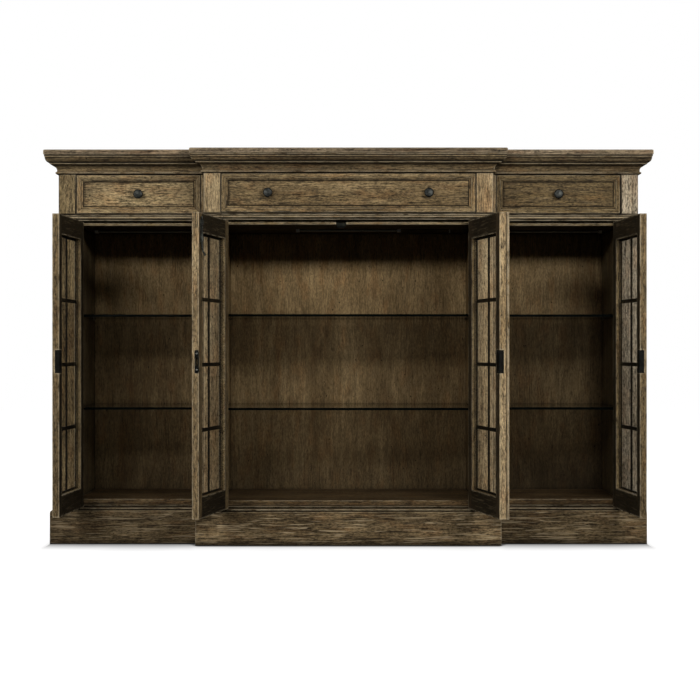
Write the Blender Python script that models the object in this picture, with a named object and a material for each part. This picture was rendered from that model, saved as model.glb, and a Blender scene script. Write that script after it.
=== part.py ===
"""China cabinet: a carcass with a projecting centre on a plinth, three drawers over four glazed doors.

Units are metres. The origin is on the floor under the middle of the carcass, with X along the front,
Y towards the back and Z up. The doors are modelled shut and stand open about their hinge axes, the
drawers are shut, and the slide bolt is down.
"""
import math
from collections import namedtuple

import bmesh
import bpy
from mathutils import Matrix, Vector

# Fits between pieces
SEAT_GAP = 0.0003
FRONT_GAP = 0.002
DOOR_STOP_GAP = 0.0015
OVERRUN = 0.005
FUSE_DEPTH = 0.004

# Plan of the carcass
CENTRE_BAY_WIDTH = 0.8612
CENTRE_PILASTER_WIDTH = 0.0564
INNER_STRIP_WIDTH = 0.014
SIDE_BAY_WIDTH = 0.4258
OUTER_PILASTER_WIDTH = 0.0579
CARCASS_DEPTH = 0.515
CENTRE_PROJECTION = 0.065
PILASTER_PROUD = 0.003

# Heights, from the floor up
PLINTH_BOARD_HEIGHT = 0.105
BASE_CAP_HEIGHT = 0.0165
DOOR_OPENING_HEIGHT = 0.973
WAIST_RAIL_HEIGHT = 0.0245
DRAWER_OPENING_HEIGHT = 0.135
CORNICE_HEIGHT = 0.062
TOP_BOARD_THICKNESS = 0.018

# Plinth
PLINTH_PROUD = 0.0265
PLINTH_BOARD_THICKNESS = 0.022
PLINTH_FRAME_THICKNESS = 0.02
PLINTH_BEARER_THICKNESS = 0.022

# Boards
FLOOR_BOARD_THICKNESS = 0.027
FLOOR_SHADOW_HEIGHT = 0.005
SHADOW_GROOVE_DEPTH = 0.006
SIDE_OUTER_SKIN = 0.02
SIDE_INNER_SKIN = 0.016
PARTITION_SKIN = 0.016
WALL_EDGE_STRIP = 0.03
BACK_PANEL_THICKNESS = 0.008
BACK_PANEL_INSET = 0.006
BACK_RAIL_THICKNESS = 0.02
BACK_RAIL_INSET = 0.002

# Framed fields on the outside of the side panels
FIELD_STILE_WIDTH = 0.07
FIELD_RAIL_WIDTH = 0.065
FIELD_DRAWER_RAIL_WIDTH = 0.022
FIELD_BEVEL_WIDTH = 0.008
FIELD_DEPTH = 0.006

# Deck over the cupboards
DECK_THICKNESS = 0.018
STOP_STRIP_HEIGHT = 0.01
DECK_SHADOW_HEIGHT = 0.0045
RUNNER_WIDTH = 0.02

# Mouldings
CORNICE_OUT = 0.046
TOP_BOARD_ROUND = 0.004
TOP_BOARD_ROUND_STEPS = 2
WAIST_MOULDING_OUT = 0.008

# Shelves and their pegs
SHELF_THICKNESS = 0.008
SHELF_SIDE_GAP = 0.0015
SHELF_FRONT_INSET = 0.006
SHELF_BACK_GAP = 0.002
LOWER_SHELF_TOP = 0.461
UPPER_SHELF_TOP = 0.778
PEG_RADIUS = 0.003
PEG_LENGTH = 0.009
PEG_FRONT_INSET = 0.07
PEG_BACK_INSET = 0.05
PEG_SIDES = 8

# Light bars
LIGHT_LENGTH = 0.357
LIGHT_WIDTH = 0.016
LIGHT_DEPTH = 0.007
LIGHT_SETBACK = 0.25
LIGHT_CLIP_LENGTH = 0.012
LIGHT_CLIP_WIDTH = 0.022
LIGHT_CLIP_DEPTH = 0.0095
LIGHT_EDGE_ROUND = 0.0015

# Drawers
DRAWER_FRONT_THICKNESS = 0.02
DRAWER_FRAME_WIDTH = 0.0155
DRAWER_BEVEL_WIDTH = 0.0075
DRAWER_PANEL_DEPTH = 0.005
DRAWER_SIDE_GAP = 0.003
DRAWER_BOX_HEIGHT = 0.11
DRAWER_BOX_LIFT = 0.0045
DRAWER_BACK_CLEARANCE = 0.03
DRAWER_WALL = 0.012
DRAWER_BOTTOM = 0.007
CENTRE_KNOB_SPACING = 0.542

# Knobs
KNOB_RADIUS = 0.016
KNOB_LENGTH = 0.026
KNOB_SIDES = 20

# Doors
DOOR_THICKNESS = 0.022
DOOR_BOTTOM_GAP = 0.002
DOOR_TOP_GAP = 0.003
DOOR_STILE_WIDTH = 0.045
DOOR_TOP_RAIL_WIDTH = 0.063
DOOR_BOTTOM_RAIL_WIDTH = 0.067
GLAZING_LIP_WIDTH = 0.003
GLAZING_LIP_DEPTH = 0.0015
GRID_DEPTH = 0.0045
GRID_RING_WIDTH = 0.0055
GRID_BAR_WIDTH = 0.012
GRID_COLUMNS = 2
GRID_ROWS = 4
GLASS_THICKNESS = 0.003
OUTER_LEFT_OPENING_DEGREES = 92.8
CENTRE_LEFT_OPENING_DEGREES = 99.0
CENTRE_RIGHT_OPENING_DEGREES = 99.7
OUTER_RIGHT_OPENING_DEGREES = 93.8

# Meeting bead on the centre right door
ASTRAGAL_LAP = 0.008
ASTRAGAL_SEAT_WIDTH = 0.013
ASTRAGAL_PROUD = 0.008
ASTRAGAL_CLEARANCE = 0.0008
ASTRAGAL_QUIRK_WIDTH = 0.0028
ASTRAGAL_QUIRK_DEPTH = 0.0028
ASTRAGAL_ROUND = 0.0022

# Hinges
HINGE_AXIS_PROUD = 0.0015
HINGE_INSET = 0.13
KNUCKLE_RADIUS = 0.004
KNUCKLE_LENGTH = 0.025
KNUCKLE_GAP = 0.0003
PIN_RADIUS = 0.0015
PIN_CLEARANCE = 0.0003
LEAF_THICKNESS = 0.0012
LEAF_DEPTH = 0.02
KNUCKLE_RELIEF = 0.0006
HINGE_SIDES = 12

# Locks and strike plate
LOCK_CENTRE_HEIGHT = 0.62
LOCK_LENGTH = 0.073
LOCK_DEPTH = 0.037
LOCK_THICKNESS = 0.0137
LOCK_PROUD = 0.0008
LOCK_BOLT_LENGTH = 0.024
LOCK_BOLT_THICKNESS = 0.005
LOCK_BOLT_RECESS = 0.001
STRIKE_THICKNESS = 0.0015
STRIKE_MORTISE_DEPTH = 0.01
STRIKE_CLEARANCE = 0.001
STRIKE_END_STEPS = 6

# Slide bolt
BOLT_FROM_EDGE = 0.0235
BOLT_PLATE_WIDTH = 0.016
BOLT_PLATE_LENGTH = 0.072
BOLT_PLATE_THICKNESS = 0.0012
BOLT_PLATE_DROP = 0.022
BOLT_ROD_RADIUS = 0.003
BOLT_ROD_LIFT = 0.0005
BOLT_ROD_TOP_DROP = 0.0125
BOLT_ROD_LENGTH = 0.095
BOLT_HANDLE_REACH = 0.009
BOLT_HANDLE_DROP = 0.026
BOLT_HANDLE_BALL_RADIUS = 0.0042
BOLT_LOOP_HEIGHT = 0.012
BOLT_LOOP_WALL = 0.0014
BOLT_LOOP_CLEARANCE = 0.0004
BOLT_LOOP_END_INSET = 0.004
BOLT_SIDES = 12
BOLT_NOTCH_WIDTH = 0.035
BOLT_NOTCH_DEPTH = 0.014
BOLT_HOLE_CLEARANCE = 0.0006

# Colour, roughness, metalness and transmission of each finish
FINISHES = {
    "oak": ((0.34, 0.27, 0.19), 0.55, 0.0, 0.0),
    "dark_metal": ((0.05, 0.045, 0.04), 0.45, 0.8, 0.0),
    "steel": ((0.45, 0.44, 0.42), 0.35, 0.9, 0.0),
    "black": ((0.02, 0.018, 0.016), 0.5, 0.0, 0.0),
    "glass": ((0.9, 0.95, 0.94), 0.05, 0.0, 1.0),
    "light_bar": ((0.5, 0.5, 0.48), 0.4, 0.3, 0.0),
}

# Outline points of the mouldings, as shares of each one's reach and height
CORNICE_BEAD_CENTRE_SHARES = (0.14, 0.057)
CORNICE_BEAD_RADIUS_SHARES = (0.076, 0.057)
CORNICE_COVE_CENTRE_SHARES = (0.587, 0.153)
CORNICE_COVE_RADIUS_SHARES = (0.489, 0.38)
CORNICE_STEP_SHARE = 0.597
CORNICE_OVOLO_CENTRE_SHARES = (0.674, 0.927)
CORNICE_OVOLO_RADIUS_SHARES = (0.239, 0.314)
CORNICE_FILLET_SHARE = 0.946
WAIST_TOP_BEAD_CENTRE_SHARES = (0.2, 0.88)
WAIST_TOP_BEAD_RADIUS_SHARES = (0.36, 0.12)
WAIST_OVOLO_CENTRE_SHARES = (0.2, 0.5)
WAIST_OVOLO_RADIUS_SHARES = (0.8, 0.22)
WAIST_LOW_BEAD_CENTRE_SHARES = (0.2, 0.12)
WAIST_LOW_BEAD_RADIUS_SHARES = (0.5, 0.12)
BASE_OVOLO_OUT_SHARE = 0.47
BASE_QUIRK_OUT_SHARE = 0.45
BASE_FILLET_OUT_SHARE = 0.53
BASE_OVOLO_HEIGHT_SHARE = 0.64
BASE_FILLET_HEIGHT_SHARE = 0.8
MOULDING_CURVE_STEPS = 5

# Curve of the slide bolt's handle, as shares of its reach and drop
BOLT_HANDLE_SHARES = ((0.0, 0.0), (0.08, 0.3), (0.4, 0.65), (1.0, 1.0))

# Mesh clean-up: the angle that still counts as flat, the weld distance as a share of the seat gap,
# the angles above which an edge stays sharp, and the roundness of a bevelled edge
FLAT_ANGLE = math.radians(0.02)
WELD_SHARE = 0.01
MOULDING_SHARP_DEGREES = 30
ROUND_SHARP_DEGREES = 40
RIM_SHARP_DEGREES = 50
ROUND_PROFILE_SHARE = 0.5

# Outline points of a knob, as shares of its radius and length
KNOB_PROFILE_SHARES = (
    (0.0, 0.0), (0.62, 0.0), (0.62, 0.07), (0.5, 0.13), (0.34, 0.2), (0.3, 0.38), (0.42, 0.5),
    (0.82, 0.56), (1.0, 0.68), (0.96, 0.8), (0.72, 0.92), (0.38, 0.98), (0.0, 1.0),
)

# Places across the plan
CENTRE_BAY_HALF = CENTRE_BAY_WIDTH / 2
CENTRE_SECTION_HALF = CENTRE_BAY_HALF + CENTRE_PILASTER_WIDTH
SIDE_BAY_INNER = CENTRE_SECTION_HALF + INNER_STRIP_WIDTH
SIDE_BAY_OUTER = SIDE_BAY_INNER + SIDE_BAY_WIDTH
CARCASS_HALF = SIDE_BAY_OUTER + OUTER_PILASTER_WIDTH

# Places from front to back
FRONT_DEPTH = PILASTER_PROUD + DOOR_THICKNESS + DOOR_STOP_GAP
BACK_FACE = CARCASS_DEPTH / 2
SIDE_FACE = -BACK_FACE
CENTRE_FACE = SIDE_FACE - CENTRE_PROJECTION
SIDE_INSIDE_FRONT = SIDE_FACE + FRONT_DEPTH
CENTRE_INSIDE_FRONT = CENTRE_FACE + FRONT_DEPTH
BACK_PANEL_FRONT = BACK_FACE - BACK_PANEL_INSET - BACK_PANEL_THICKNESS
INSIDE_BACK = BACK_PANEL_FRONT - SEAT_GAP

# Places from the floor up
SILL = PLINTH_BOARD_HEIGHT + BASE_CAP_HEIGHT
FLOOR_TOP = SILL + FLOOR_BOARD_THICKNESS
WAIST_BOTTOM = SILL + DOOR_OPENING_HEIGHT
WAIST_TOP = WAIST_BOTTOM + WAIST_RAIL_HEIGHT
CORNICE_BOTTOM = WAIST_TOP + DRAWER_OPENING_HEIGHT
CORNICE_TOP = CORNICE_BOTTOM + CORNICE_HEIGHT
DECK_BOTTOM = WAIST_BOTTOM - DECK_SHADOW_HEIGHT - STOP_STRIP_HEIGHT
DECK_TOP = DECK_BOTTOM + DECK_THICKNESS
DOOR_BOTTOM = SILL + DOOR_BOTTOM_GAP
DOOR_TOP = WAIST_BOTTOM - DOOR_TOP_GAP
DRAWER_BOX_BOTTOM = WAIST_TOP + DRAWER_BOX_LIFT
HINGE_LEVELS = (DOOR_BOTTOM + HINGE_INSET, DOOR_TOP - HINGE_INSET)

# Places across and through a door, from its hinge axis
DOOR_HINGE_EDGE = FRONT_GAP / 2
DOOR_OUTER_FACE = HINGE_AXIS_PROUD + PILASTER_PROUD
DOOR_INNER_FACE = DOOR_OUTER_FACE + DOOR_THICKNESS
GRID_FRONT = DOOR_OUTER_FACE + GLAZING_LIP_DEPTH + SEAT_GAP
GLASS_FRONT = GRID_FRONT + GRID_DEPTH + SEAT_GAP
SIDE_DOOR_WIDTH = SIDE_BAY_WIDTH - 2 * FRONT_GAP
CENTRE_DOOR_WIDTH = (CENTRE_BAY_WIDTH - 3 * FRONT_GAP) / 2
PIN_BORE_RADIUS = PIN_RADIUS + PIN_CLEARANCE
BOLT_ROD_AXIS = DOOR_INNER_FACE + SEAT_GAP + BOLT_PLATE_THICKNESS + BOLT_ROD_LIFT + BOLT_ROD_RADIUS

Door = namedtuple("Door", "name stile_edge face width hand opening_degrees locked")
DOORS = (
    Door("left", -SIDE_BAY_OUTER, SIDE_FACE, SIDE_DOOR_WIDTH, 1, OUTER_LEFT_OPENING_DEGREES, True),
    Door("centre_left", -CENTRE_BAY_HALF, CENTRE_FACE, CENTRE_DOOR_WIDTH, 1,
         CENTRE_LEFT_OPENING_DEGREES, False),
    Door("centre_right", CENTRE_BAY_HALF, CENTRE_FACE, CENTRE_DOOR_WIDTH, -1,
         CENTRE_RIGHT_OPENING_DEGREES, True),
    Door("right", SIDE_BAY_OUTER, SIDE_FACE, SIDE_DOOR_WIDTH, -1, OUTER_RIGHT_OPENING_DEGREES, True),
)

Bay = namedtuple("Bay", "name low high face inside_front")
BAYS = (
    Bay("left", -SIDE_BAY_OUTER, -SIDE_BAY_INNER, SIDE_FACE, SIDE_INSIDE_FRONT),
    Bay("centre", -CENTRE_BAY_HALF, CENTRE_BAY_HALF, CENTRE_FACE, CENTRE_INSIDE_FRONT),
    Bay("right", SIDE_BAY_INNER, SIDE_BAY_OUTER, SIDE_FACE, SIDE_INSIDE_FRONT),
)
SIDES = (("left", -1), ("right", 1))
SHELVES = (("lower", LOWER_SHELF_TOP), ("upper", UPPER_SHELF_TOP))


def clear_scene():
    """Removes whatever objects the scene holds."""
    for item in list(bpy.data.objects):
        bpy.data.objects.remove(item, do_unlink=True)


def finish(name, kind):
    """One Principled material for one sub-part."""
    colour, roughness, metallic, transmission = FINISHES[kind]
    made = bpy.data.materials.new(name + "_" + kind)
    made.use_nodes = True
    shader = made.node_tree.nodes["Principled BSDF"]
    shader.inputs["Base Color"].default_value = (*colour, 1.0)
    shader.inputs["Roughness"].default_value = roughness
    shader.inputs["Metallic"].default_value = metallic
    shader.inputs["Transmission Weight"].default_value = transmission
    return made


def to_object(name, solid):
    """Links an object that holds the solid's mesh."""
    bmesh.ops.recalc_face_normals(solid, faces=solid.faces)
    mesh = bpy.data.meshes.new(name)
    solid.to_mesh(mesh)
    solid.free()
    made = bpy.data.objects.new(name, mesh)
    bpy.context.collection.objects.link(made)
    return made


def add_part(name, solid, kind, origin=(0, 0, 0), parent=None, smooth_degrees=None):
    """Adds a named sub-part whose own origin is the given point of its solid."""
    bmesh.ops.translate(solid, verts=solid.verts, vec=-Vector(origin))
    bmesh.ops.dissolve_limit(solid, angle_limit=FLAT_ANGLE, verts=solid.verts, edges=solid.edges)
    made = to_object(name, solid)
    made.location = origin
    made.parent = parent
    made.data.materials.append(finish(name, kind))
    if smooth_degrees:
        made.data.shade_smooth()
        made.data.set_sharp_from_angle(angle=math.radians(smooth_degrees))
    return made


def combine(base, tool, operation):
    """The exact union or difference of two closed solids, as a new solid."""
    target = to_object("base", base)
    operand = to_object("tool", tool)
    modifier = target.modifiers.new("Boolean", "BOOLEAN")
    modifier.operation = operation
    modifier.solver = "EXACT"
    modifier.object = operand
    bpy.context.view_layer.update()
    result = bmesh.new()
    result.from_object(target, bpy.context.evaluated_depsgraph_get())
    for item in (target, operand):
        mesh = item.data
        bpy.data.objects.remove(item, do_unlink=True)
        bpy.data.meshes.remove(mesh)
    return result


def fuse(base, *tools):
    """The solid with each tool joined on."""
    for tool in tools:
        base = combine(base, tool, "UNION")
    return base


def cut(base, *tools):
    """The solid with each tool taken out."""
    for tool in tools:
        base = combine(base, tool, "DIFFERENCE")
    return base


def block(low, high):
    """A box between two opposite corners."""
    low = Vector(low)
    high = Vector(high)
    solid = bmesh.new()
    bmesh.ops.create_cube(solid, size=1)
    bmesh.ops.scale(solid, verts=solid.verts, vec=[abs(part) for part in high - low])
    bmesh.ops.translate(solid, verts=solid.verts, vec=(low + high) / 2)
    return solid


def prism(outline, start, end, place):
    """An outline drawn out from start to end, where place turns the three values into a point."""
    solid = bmesh.new()
    rings = [[solid.verts.new(place(a, b, level)) for a, b in outline] for level in (start, end)]
    for ring in rings:
        solid.faces.new(ring)
    for index in range(len(outline)):
        after = (index + 1) % len(outline)
        solid.faces.new((rings[0][index], rings[0][after], rings[1][after], rings[1][index]))
    bmesh.ops.recalc_face_normals(solid, faces=solid.faces)
    return solid


def upright(a, b, level):
    """Places an outline in plan and draws it out upwards."""
    return (a, b, level)


def crosswise(a, b, level):
    """Places an outline in the side view and draws it out along the front."""
    return (level, a, b)


def outward(direction):
    """The outward normal of a stretch of path that keeps the carcass on its left."""
    return Vector((direction.y, -direction.x)).normalized()


def mitres(path):
    """At each point of the path, the step that moves both neighbouring stretches out by one."""
    normals = [outward(Vector(end) - Vector(start)) for start, end in zip(path, path[1:])]
    steps = [normals[0]]
    for before, after in zip(normals, normals[1:]):
        steps.append((before + after) / (1 + before.dot(after)))
    steps.append(normals[-1])
    return steps


def sweep(profile, path):
    """A moulding: the closed profile (out, up) carried along the path with mitred corners."""
    solid = bmesh.new()
    rings = []
    for point, step in zip(path, mitres(path)):
        ring = []
        for out, up in profile:
            ring.append(solid.verts.new((point[0] + step.x * out, point[1] + step.y * out, up)))
        rings.append(ring)
    solid.faces.new(rings[0])
    solid.faces.new(rings[-1])
    for first, second in zip(rings, rings[1:]):
        for index in range(len(profile)):
            after = (index + 1) % len(profile)
            solid.faces.new((first[index], first[after], second[after], second[index]))
    bmesh.ops.recalc_face_normals(solid, faces=solid.faces)
    return solid


def turned(profile, sides, place=Matrix.Identity(4)):
    """A solid of revolution about Z from (radius, height) points that start and end on the axis."""
    solid = bmesh.new()
    points = [solid.verts.new((radius, 0, height)) for radius, height in profile]
    edges = [solid.edges.new(pair) for pair in zip(points, points[1:])]
    bmesh.ops.spin(solid, geom=points + edges, cent=(0, 0, 0), axis=(0, 0, 1), dvec=(0, 0, 0),
                   angle=2 * math.pi, steps=sides, use_merge=True)
    bmesh.ops.remove_doubles(solid, verts=solid.verts, dist=SEAT_GAP * WELD_SHARE)
    bmesh.ops.transform(solid, matrix=place, verts=solid.verts)
    bmesh.ops.recalc_face_normals(solid, faces=solid.faces)
    return solid


def rod(centre, radius, low, high, sides):
    """An upright cylinder."""
    place = Matrix.Translation((centre[0], centre[1], 0))
    return turned(((0, low), (radius, low), (radius, high), (0, high)), sides, place)


def arc(centre, radii, start_degrees, end_degrees, steps):
    """Points on an ellipse between two angles, both ends included."""
    points = []
    for index in range(steps + 1):
        angle = math.radians(start_degrees + (end_degrees - start_degrees) * index / steps)
        points.append((centre[0] + radii[0] * math.cos(angle), centre[1] + radii[1] * math.sin(angle)))
    return points


def scaled(shares, reach, bottom, height):
    """Profile points given as shares, at their real size and level."""
    return [(out * reach, bottom + up * height) for out, up in shares]


def mirrored_path(left_half):
    """The path from back left to back right, from its left half."""
    return left_half + [(-x, y) for x, y in reversed(left_half)]


def face_path():
    """The carcass's outside faces from back left to back right."""
    return mirrored_path([
        (-CARCASS_HALF, BACK_FACE), (-CARCASS_HALF, SIDE_FACE),
        (-CENTRE_SECTION_HALF, SIDE_FACE), (-CENTRE_SECTION_HALF, CENTRE_FACE),
    ])


def broken_path(out):
    """The outside faces with the fronts set back between the pilasters, kept clear by out."""
    return mirrored_path([
        (-CARCASS_HALF - out, BACK_FACE), (-CARCASS_HALF - out, SIDE_FACE - out),
        (-SIDE_BAY_OUTER + out, SIDE_FACE - out), (-SIDE_BAY_OUTER + out, SIDE_FACE + PILASTER_PROUD - out),
        (-CENTRE_SECTION_HALF - out, SIDE_FACE + PILASTER_PROUD - out),
        (-CENTRE_SECTION_HALF - out, CENTRE_FACE - out),
        (-CENTRE_BAY_HALF + out, CENTRE_FACE - out),
        (-CENTRE_BAY_HALF + out, CENTRE_FACE + PILASTER_PROUD - out),
    ])


def inside_path():
    """The front edge of the floor and the deck, from the left side panel to the right one."""
    bay_half = CENTRE_BAY_HALF - SEAT_GAP
    return mirrored_path([
        (-SIDE_BAY_OUTER + SEAT_GAP, SIDE_INSIDE_FRONT + SEAT_GAP), (-bay_half, SIDE_INSIDE_FRONT + SEAT_GAP),
        (-bay_half, CENTRE_INSIDE_FRONT),
    ])


def board_outline():
    """The plan of a board that fills the carcass inside the side panels."""
    wall = SIDE_BAY_OUTER - SEAT_GAP
    return [(-wall, INSIDE_BACK)] + inside_path() + [(wall, INSIDE_BACK)]


def build_plinth():
    """The plinth: moulded boards round three sides, a back rail and front-to-back bearers."""
    ovolo_bottom = PLINTH_BOARD_HEIGHT
    ovolo_top = PLINTH_BOARD_HEIGHT + BASE_CAP_HEIGHT * BASE_OVOLO_HEIGHT_SHARE
    fillet_bottom = PLINTH_BOARD_HEIGHT + BASE_CAP_HEIGHT * BASE_FILLET_HEIGHT_SHARE
    ovolo_out = PLINTH_PROUD * BASE_OVOLO_OUT_SHARE
    quirk_out = PLINTH_PROUD * BASE_QUIRK_OUT_SHARE
    fillet_out = PLINTH_PROUD * BASE_FILLET_OUT_SHARE
    board_in = PLINTH_PROUD - PLINTH_BOARD_THICKNESS
    frame_bottom = SILL - PLINTH_FRAME_THICKNESS
    curve = arc((ovolo_out, ovolo_bottom), (PLINTH_PROUD - ovolo_out, ovolo_top - ovolo_bottom),
                0, 90, MOULDING_CURVE_STEPS)
    profile = [(board_in, 0), (PLINTH_PROUD, 0)] + curve
    profile += [(quirk_out, ovolo_top), (quirk_out, fillet_bottom), (fillet_out, fillet_bottom)]
    profile += [(fillet_out, SILL), (-OUTER_PILASTER_WIDTH, SILL)]
    profile += [(-OUTER_PILASTER_WIDTH, frame_bottom), (board_in, frame_bottom)]
    solid = sweep(profile, face_path())
    rail_back = BACK_FACE - BACK_RAIL_INSET
    rail_front = rail_back - BACK_RAIL_THICKNESS
    rail_end = CARCASS_HALF + board_in + FUSE_DEPTH
    solid = fuse(solid, block((-rail_end, rail_front, 0), (rail_end, rail_back, SILL)))
    bearers = (
        (-CENTRE_SECTION_HALF, SIDE_FACE),
        (-PLINTH_BEARER_THICKNESS / 2, CENTRE_FACE),
        (CENTRE_SECTION_HALF - PLINTH_BEARER_THICKNESS, SIDE_FACE),
    )
    for start, face in bearers:
        low = (start, face - board_in - FUSE_DEPTH, 0)
        high = (start + PLINTH_BEARER_THICKNESS, rail_front + FUSE_DEPTH, SILL)
        solid = fuse(solid, block(low, high))
    add_part("plinth", solid, "oak")


def build_bottom_board():
    """The cupboards' floor, with a shadow groove under its front edge."""
    solid = prism(board_outline(), SILL + SEAT_GAP, FLOOR_TOP, upright)
    groove = [(-SHADOW_GROOVE_DEPTH, SILL - OVERRUN), (OVERRUN, SILL - OVERRUN),
              (OVERRUN, SILL + FLOOR_SHADOW_HEIGHT), (-SHADOW_GROOVE_DEPTH, SILL + FLOOR_SHADOW_HEIGHT)]
    solid = cut(solid, sweep(groove, long_inside_path()))
    add_part("bottom_board", solid, "oak", origin=(0, 0, SILL + SEAT_GAP))


def long_inside_path():
    """The front edge of floor and deck, run past both ends for a cutter."""
    path = inside_path()
    first, last = path[0], path[-1]
    return [(first[0] - OVERRUN, first[1])] + path[1:-1] + [(last[0] + OVERRUN, last[1])]


def hinge_relief(axis):
    """Room in a stile for each door knuckle."""
    reach = KNUCKLE_LENGTH / 2 + KNUCKLE_GAP
    return [rod(axis, KNUCKLE_RADIUS + KNUCKLE_RELIEF, level - reach, level + reach, HINGE_SIDES)
            for level in HINGE_LEVELS]


def stile_knuckles(axis):
    """Two knuckles of the stile's hinge leaf with the pin between them, at each hinge."""
    inner = KNUCKLE_LENGTH / 2 + KNUCKLE_GAP
    outer = inner + KNUCKLE_LENGTH
    place = Matrix.Translation((axis[0], axis[1], 0))
    made = []
    for level in HINGE_LEVELS:
        profile = (
            (0, level - outer), (KNUCKLE_RADIUS, level - outer), (KNUCKLE_RADIUS, level - inner),
            (PIN_RADIUS, level - inner), (PIN_RADIUS, level + inner), (KNUCKLE_RADIUS, level + inner),
            (KNUCKLE_RADIUS, level + outer), (0, level + outer),
        )
        made.append(turned(profile, HINGE_SIDES, place))
    return made


def hinge_axis(door):
    """The plan position of a door's hinge axis."""
    return (door.stile_edge + door.hand * DOOR_HINGE_EDGE, door.face - HINGE_AXIS_PROUD)


def build_stiles():
    """The four upright posts, with their hinge knuckles and pins."""
    low = SILL + SEAT_GAP
    high = CORNICE_BOTTOM - SEAT_GAP
    strip_face = SIDE_FACE + PILASTER_PROUD
    for side, sign in SIDES:
        outer_door = DOORS[0] if sign < 0 else DOORS[-1]
        centre_door = DOORS[1] if sign < 0 else DOORS[2]
        outline = [(sign * SIDE_BAY_OUTER, SIDE_FACE), (sign * CARCASS_HALF, SIDE_FACE),
                   (sign * CARCASS_HALF, SIDE_INSIDE_FRONT), (sign * SIDE_BAY_OUTER, SIDE_INSIDE_FRONT)]
        add_stile("stile_outer_" + side, prism(outline, low, high, upright), hinge_axis(outer_door),
                  (sign * CARCASS_HALF, SIDE_FACE, low))
        outline = [
            (sign * CENTRE_BAY_HALF, CENTRE_FACE), (sign * CENTRE_SECTION_HALF, CENTRE_FACE),
            (sign * CENTRE_SECTION_HALF, strip_face), (sign * SIDE_BAY_INNER, strip_face),
            (sign * SIDE_BAY_INNER, SIDE_INSIDE_FRONT), (sign * CENTRE_BAY_HALF, SIDE_INSIDE_FRONT),
        ]
        solid = cut(prism(outline, low, high, upright), lock_mortise(sign))
        add_stile("stile_inner_" + side, solid, hinge_axis(centre_door),
                  (sign * CENTRE_SECTION_HALF, CENTRE_FACE, low))


def add_stile(name, solid, axis, origin):
    """Adds a post with its hinges on the given axis."""
    solid = cut(solid, *hinge_relief(axis))
    solid = fuse(solid, *stile_knuckles(axis))
    add_part(name, solid, "oak", origin)


def lock_mortise(sign):
    """The slot in the side-bay strip that an outer door's lock bolt goes into."""
    half = LOCK_BOLT_LENGTH / 2 + STRIKE_CLEARANCE
    middle = SIDE_FACE + PILASTER_PROUD + DOOR_THICKNESS - LOCK_THICKNESS / 2
    thick = LOCK_BOLT_THICKNESS / 2 + STRIKE_CLEARANCE
    low = (sign * (SIDE_BAY_INNER - STRIKE_MORTISE_DEPTH), middle - thick, LOCK_CENTRE_HEIGHT - half)
    high = (sign * (SIDE_BAY_INNER + OVERRUN), middle + thick, LOCK_CENTRE_HEIGHT + half)
    return block(low, high)


def pegs(wall, sign, front):
    """The shelf pegs on one wall face that looks along sign, for both shelves."""
    made = []
    turn = Matrix.Rotation(math.radians(90), 4, "Y")
    for _, top in SHELVES:
        level = top - SHELF_THICKNESS - SEAT_GAP - PEG_RADIUS
        for depth in (front + PEG_FRONT_INSET, INSIDE_BACK - PEG_BACK_INSET):
            low = -FUSE_DEPTH if sign > 0 else -PEG_LENGTH
            profile = ((0, low), (PEG_RADIUS, low), (PEG_RADIUS, low + PEG_LENGTH + FUSE_DEPTH),
                       (0, low + PEG_LENGTH + FUSE_DEPTH))
            made.append(turned(profile, PEG_SIDES, Matrix.Translation((wall, depth, level)) @ turn))
    return made


def field_cutter(sign, front, back, low, high):
    """The bevelled recess of one framed field on the outside of a side panel."""
    solid = bmesh.new()
    shallow = CARCASS_HALF + OVERRUN
    deep = CARCASS_HALF - FIELD_DEPTH
    flare = FIELD_BEVEL_WIDTH * (1 + OVERRUN / FIELD_DEPTH)
    rings = []
    for reach, grow in ((shallow, flare), (deep, 0)):
        corners = ((front - grow, low - grow), (back + grow, low - grow),
                   (back + grow, high + grow), (front - grow, high + grow))
        rings.append([solid.verts.new((sign * reach, y, z)) for y, z in corners])
    for ring in rings:
        solid.faces.new(ring)
    bmesh.ops.bridge_loops(solid, edges=solid.edges)
    bmesh.ops.recalc_face_normals(solid, faces=solid.faces)
    return solid


def build_side_panels():
    """The two double-skinned sides: hollow inside, framed outside, with pegs on the inner skin."""
    low = SILL + SEAT_GAP
    high = CORNICE_BOTTOM - SEAT_GAP
    front = SIDE_INSIDE_FRONT + SEAT_GAP
    for side, sign in SIDES:
        solid = block((sign * SIDE_BAY_OUTER, front, low), (sign * CARCASS_HALF, BACK_FACE, high))
        hollow_in = sign * (SIDE_BAY_OUTER + SIDE_INNER_SKIN)
        hollow_out = sign * (CARCASS_HALF - SIDE_OUTER_SKIN)
        hollow = block((hollow_in, front + WALL_EDGE_STRIP, low - OVERRUN),
                       (hollow_out, BACK_FACE - WALL_EDGE_STRIP, high + OVERRUN))
        field_front = SIDE_FACE + FIELD_STILE_WIDTH
        field_back = BACK_FACE - FIELD_STILE_WIDTH
        lower = field_cutter(sign, field_front, field_back, low + FIELD_RAIL_WIDTH,
                             WAIST_BOTTOM - FIELD_RAIL_WIDTH)
        upper = field_cutter(sign, field_front, field_back, WAIST_TOP + FIELD_DRAWER_RAIL_WIDTH,
                             high - FIELD_DRAWER_RAIL_WIDTH)
        solid = cut(solid, hollow, lower, upper)
        solid = fuse(solid, *pegs(sign * SIDE_BAY_OUTER, -sign, SIDE_INSIDE_FRONT))
        add_part("side_panel_" + side, solid, "oak", (sign * CARCASS_HALF, 0, low))


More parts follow.
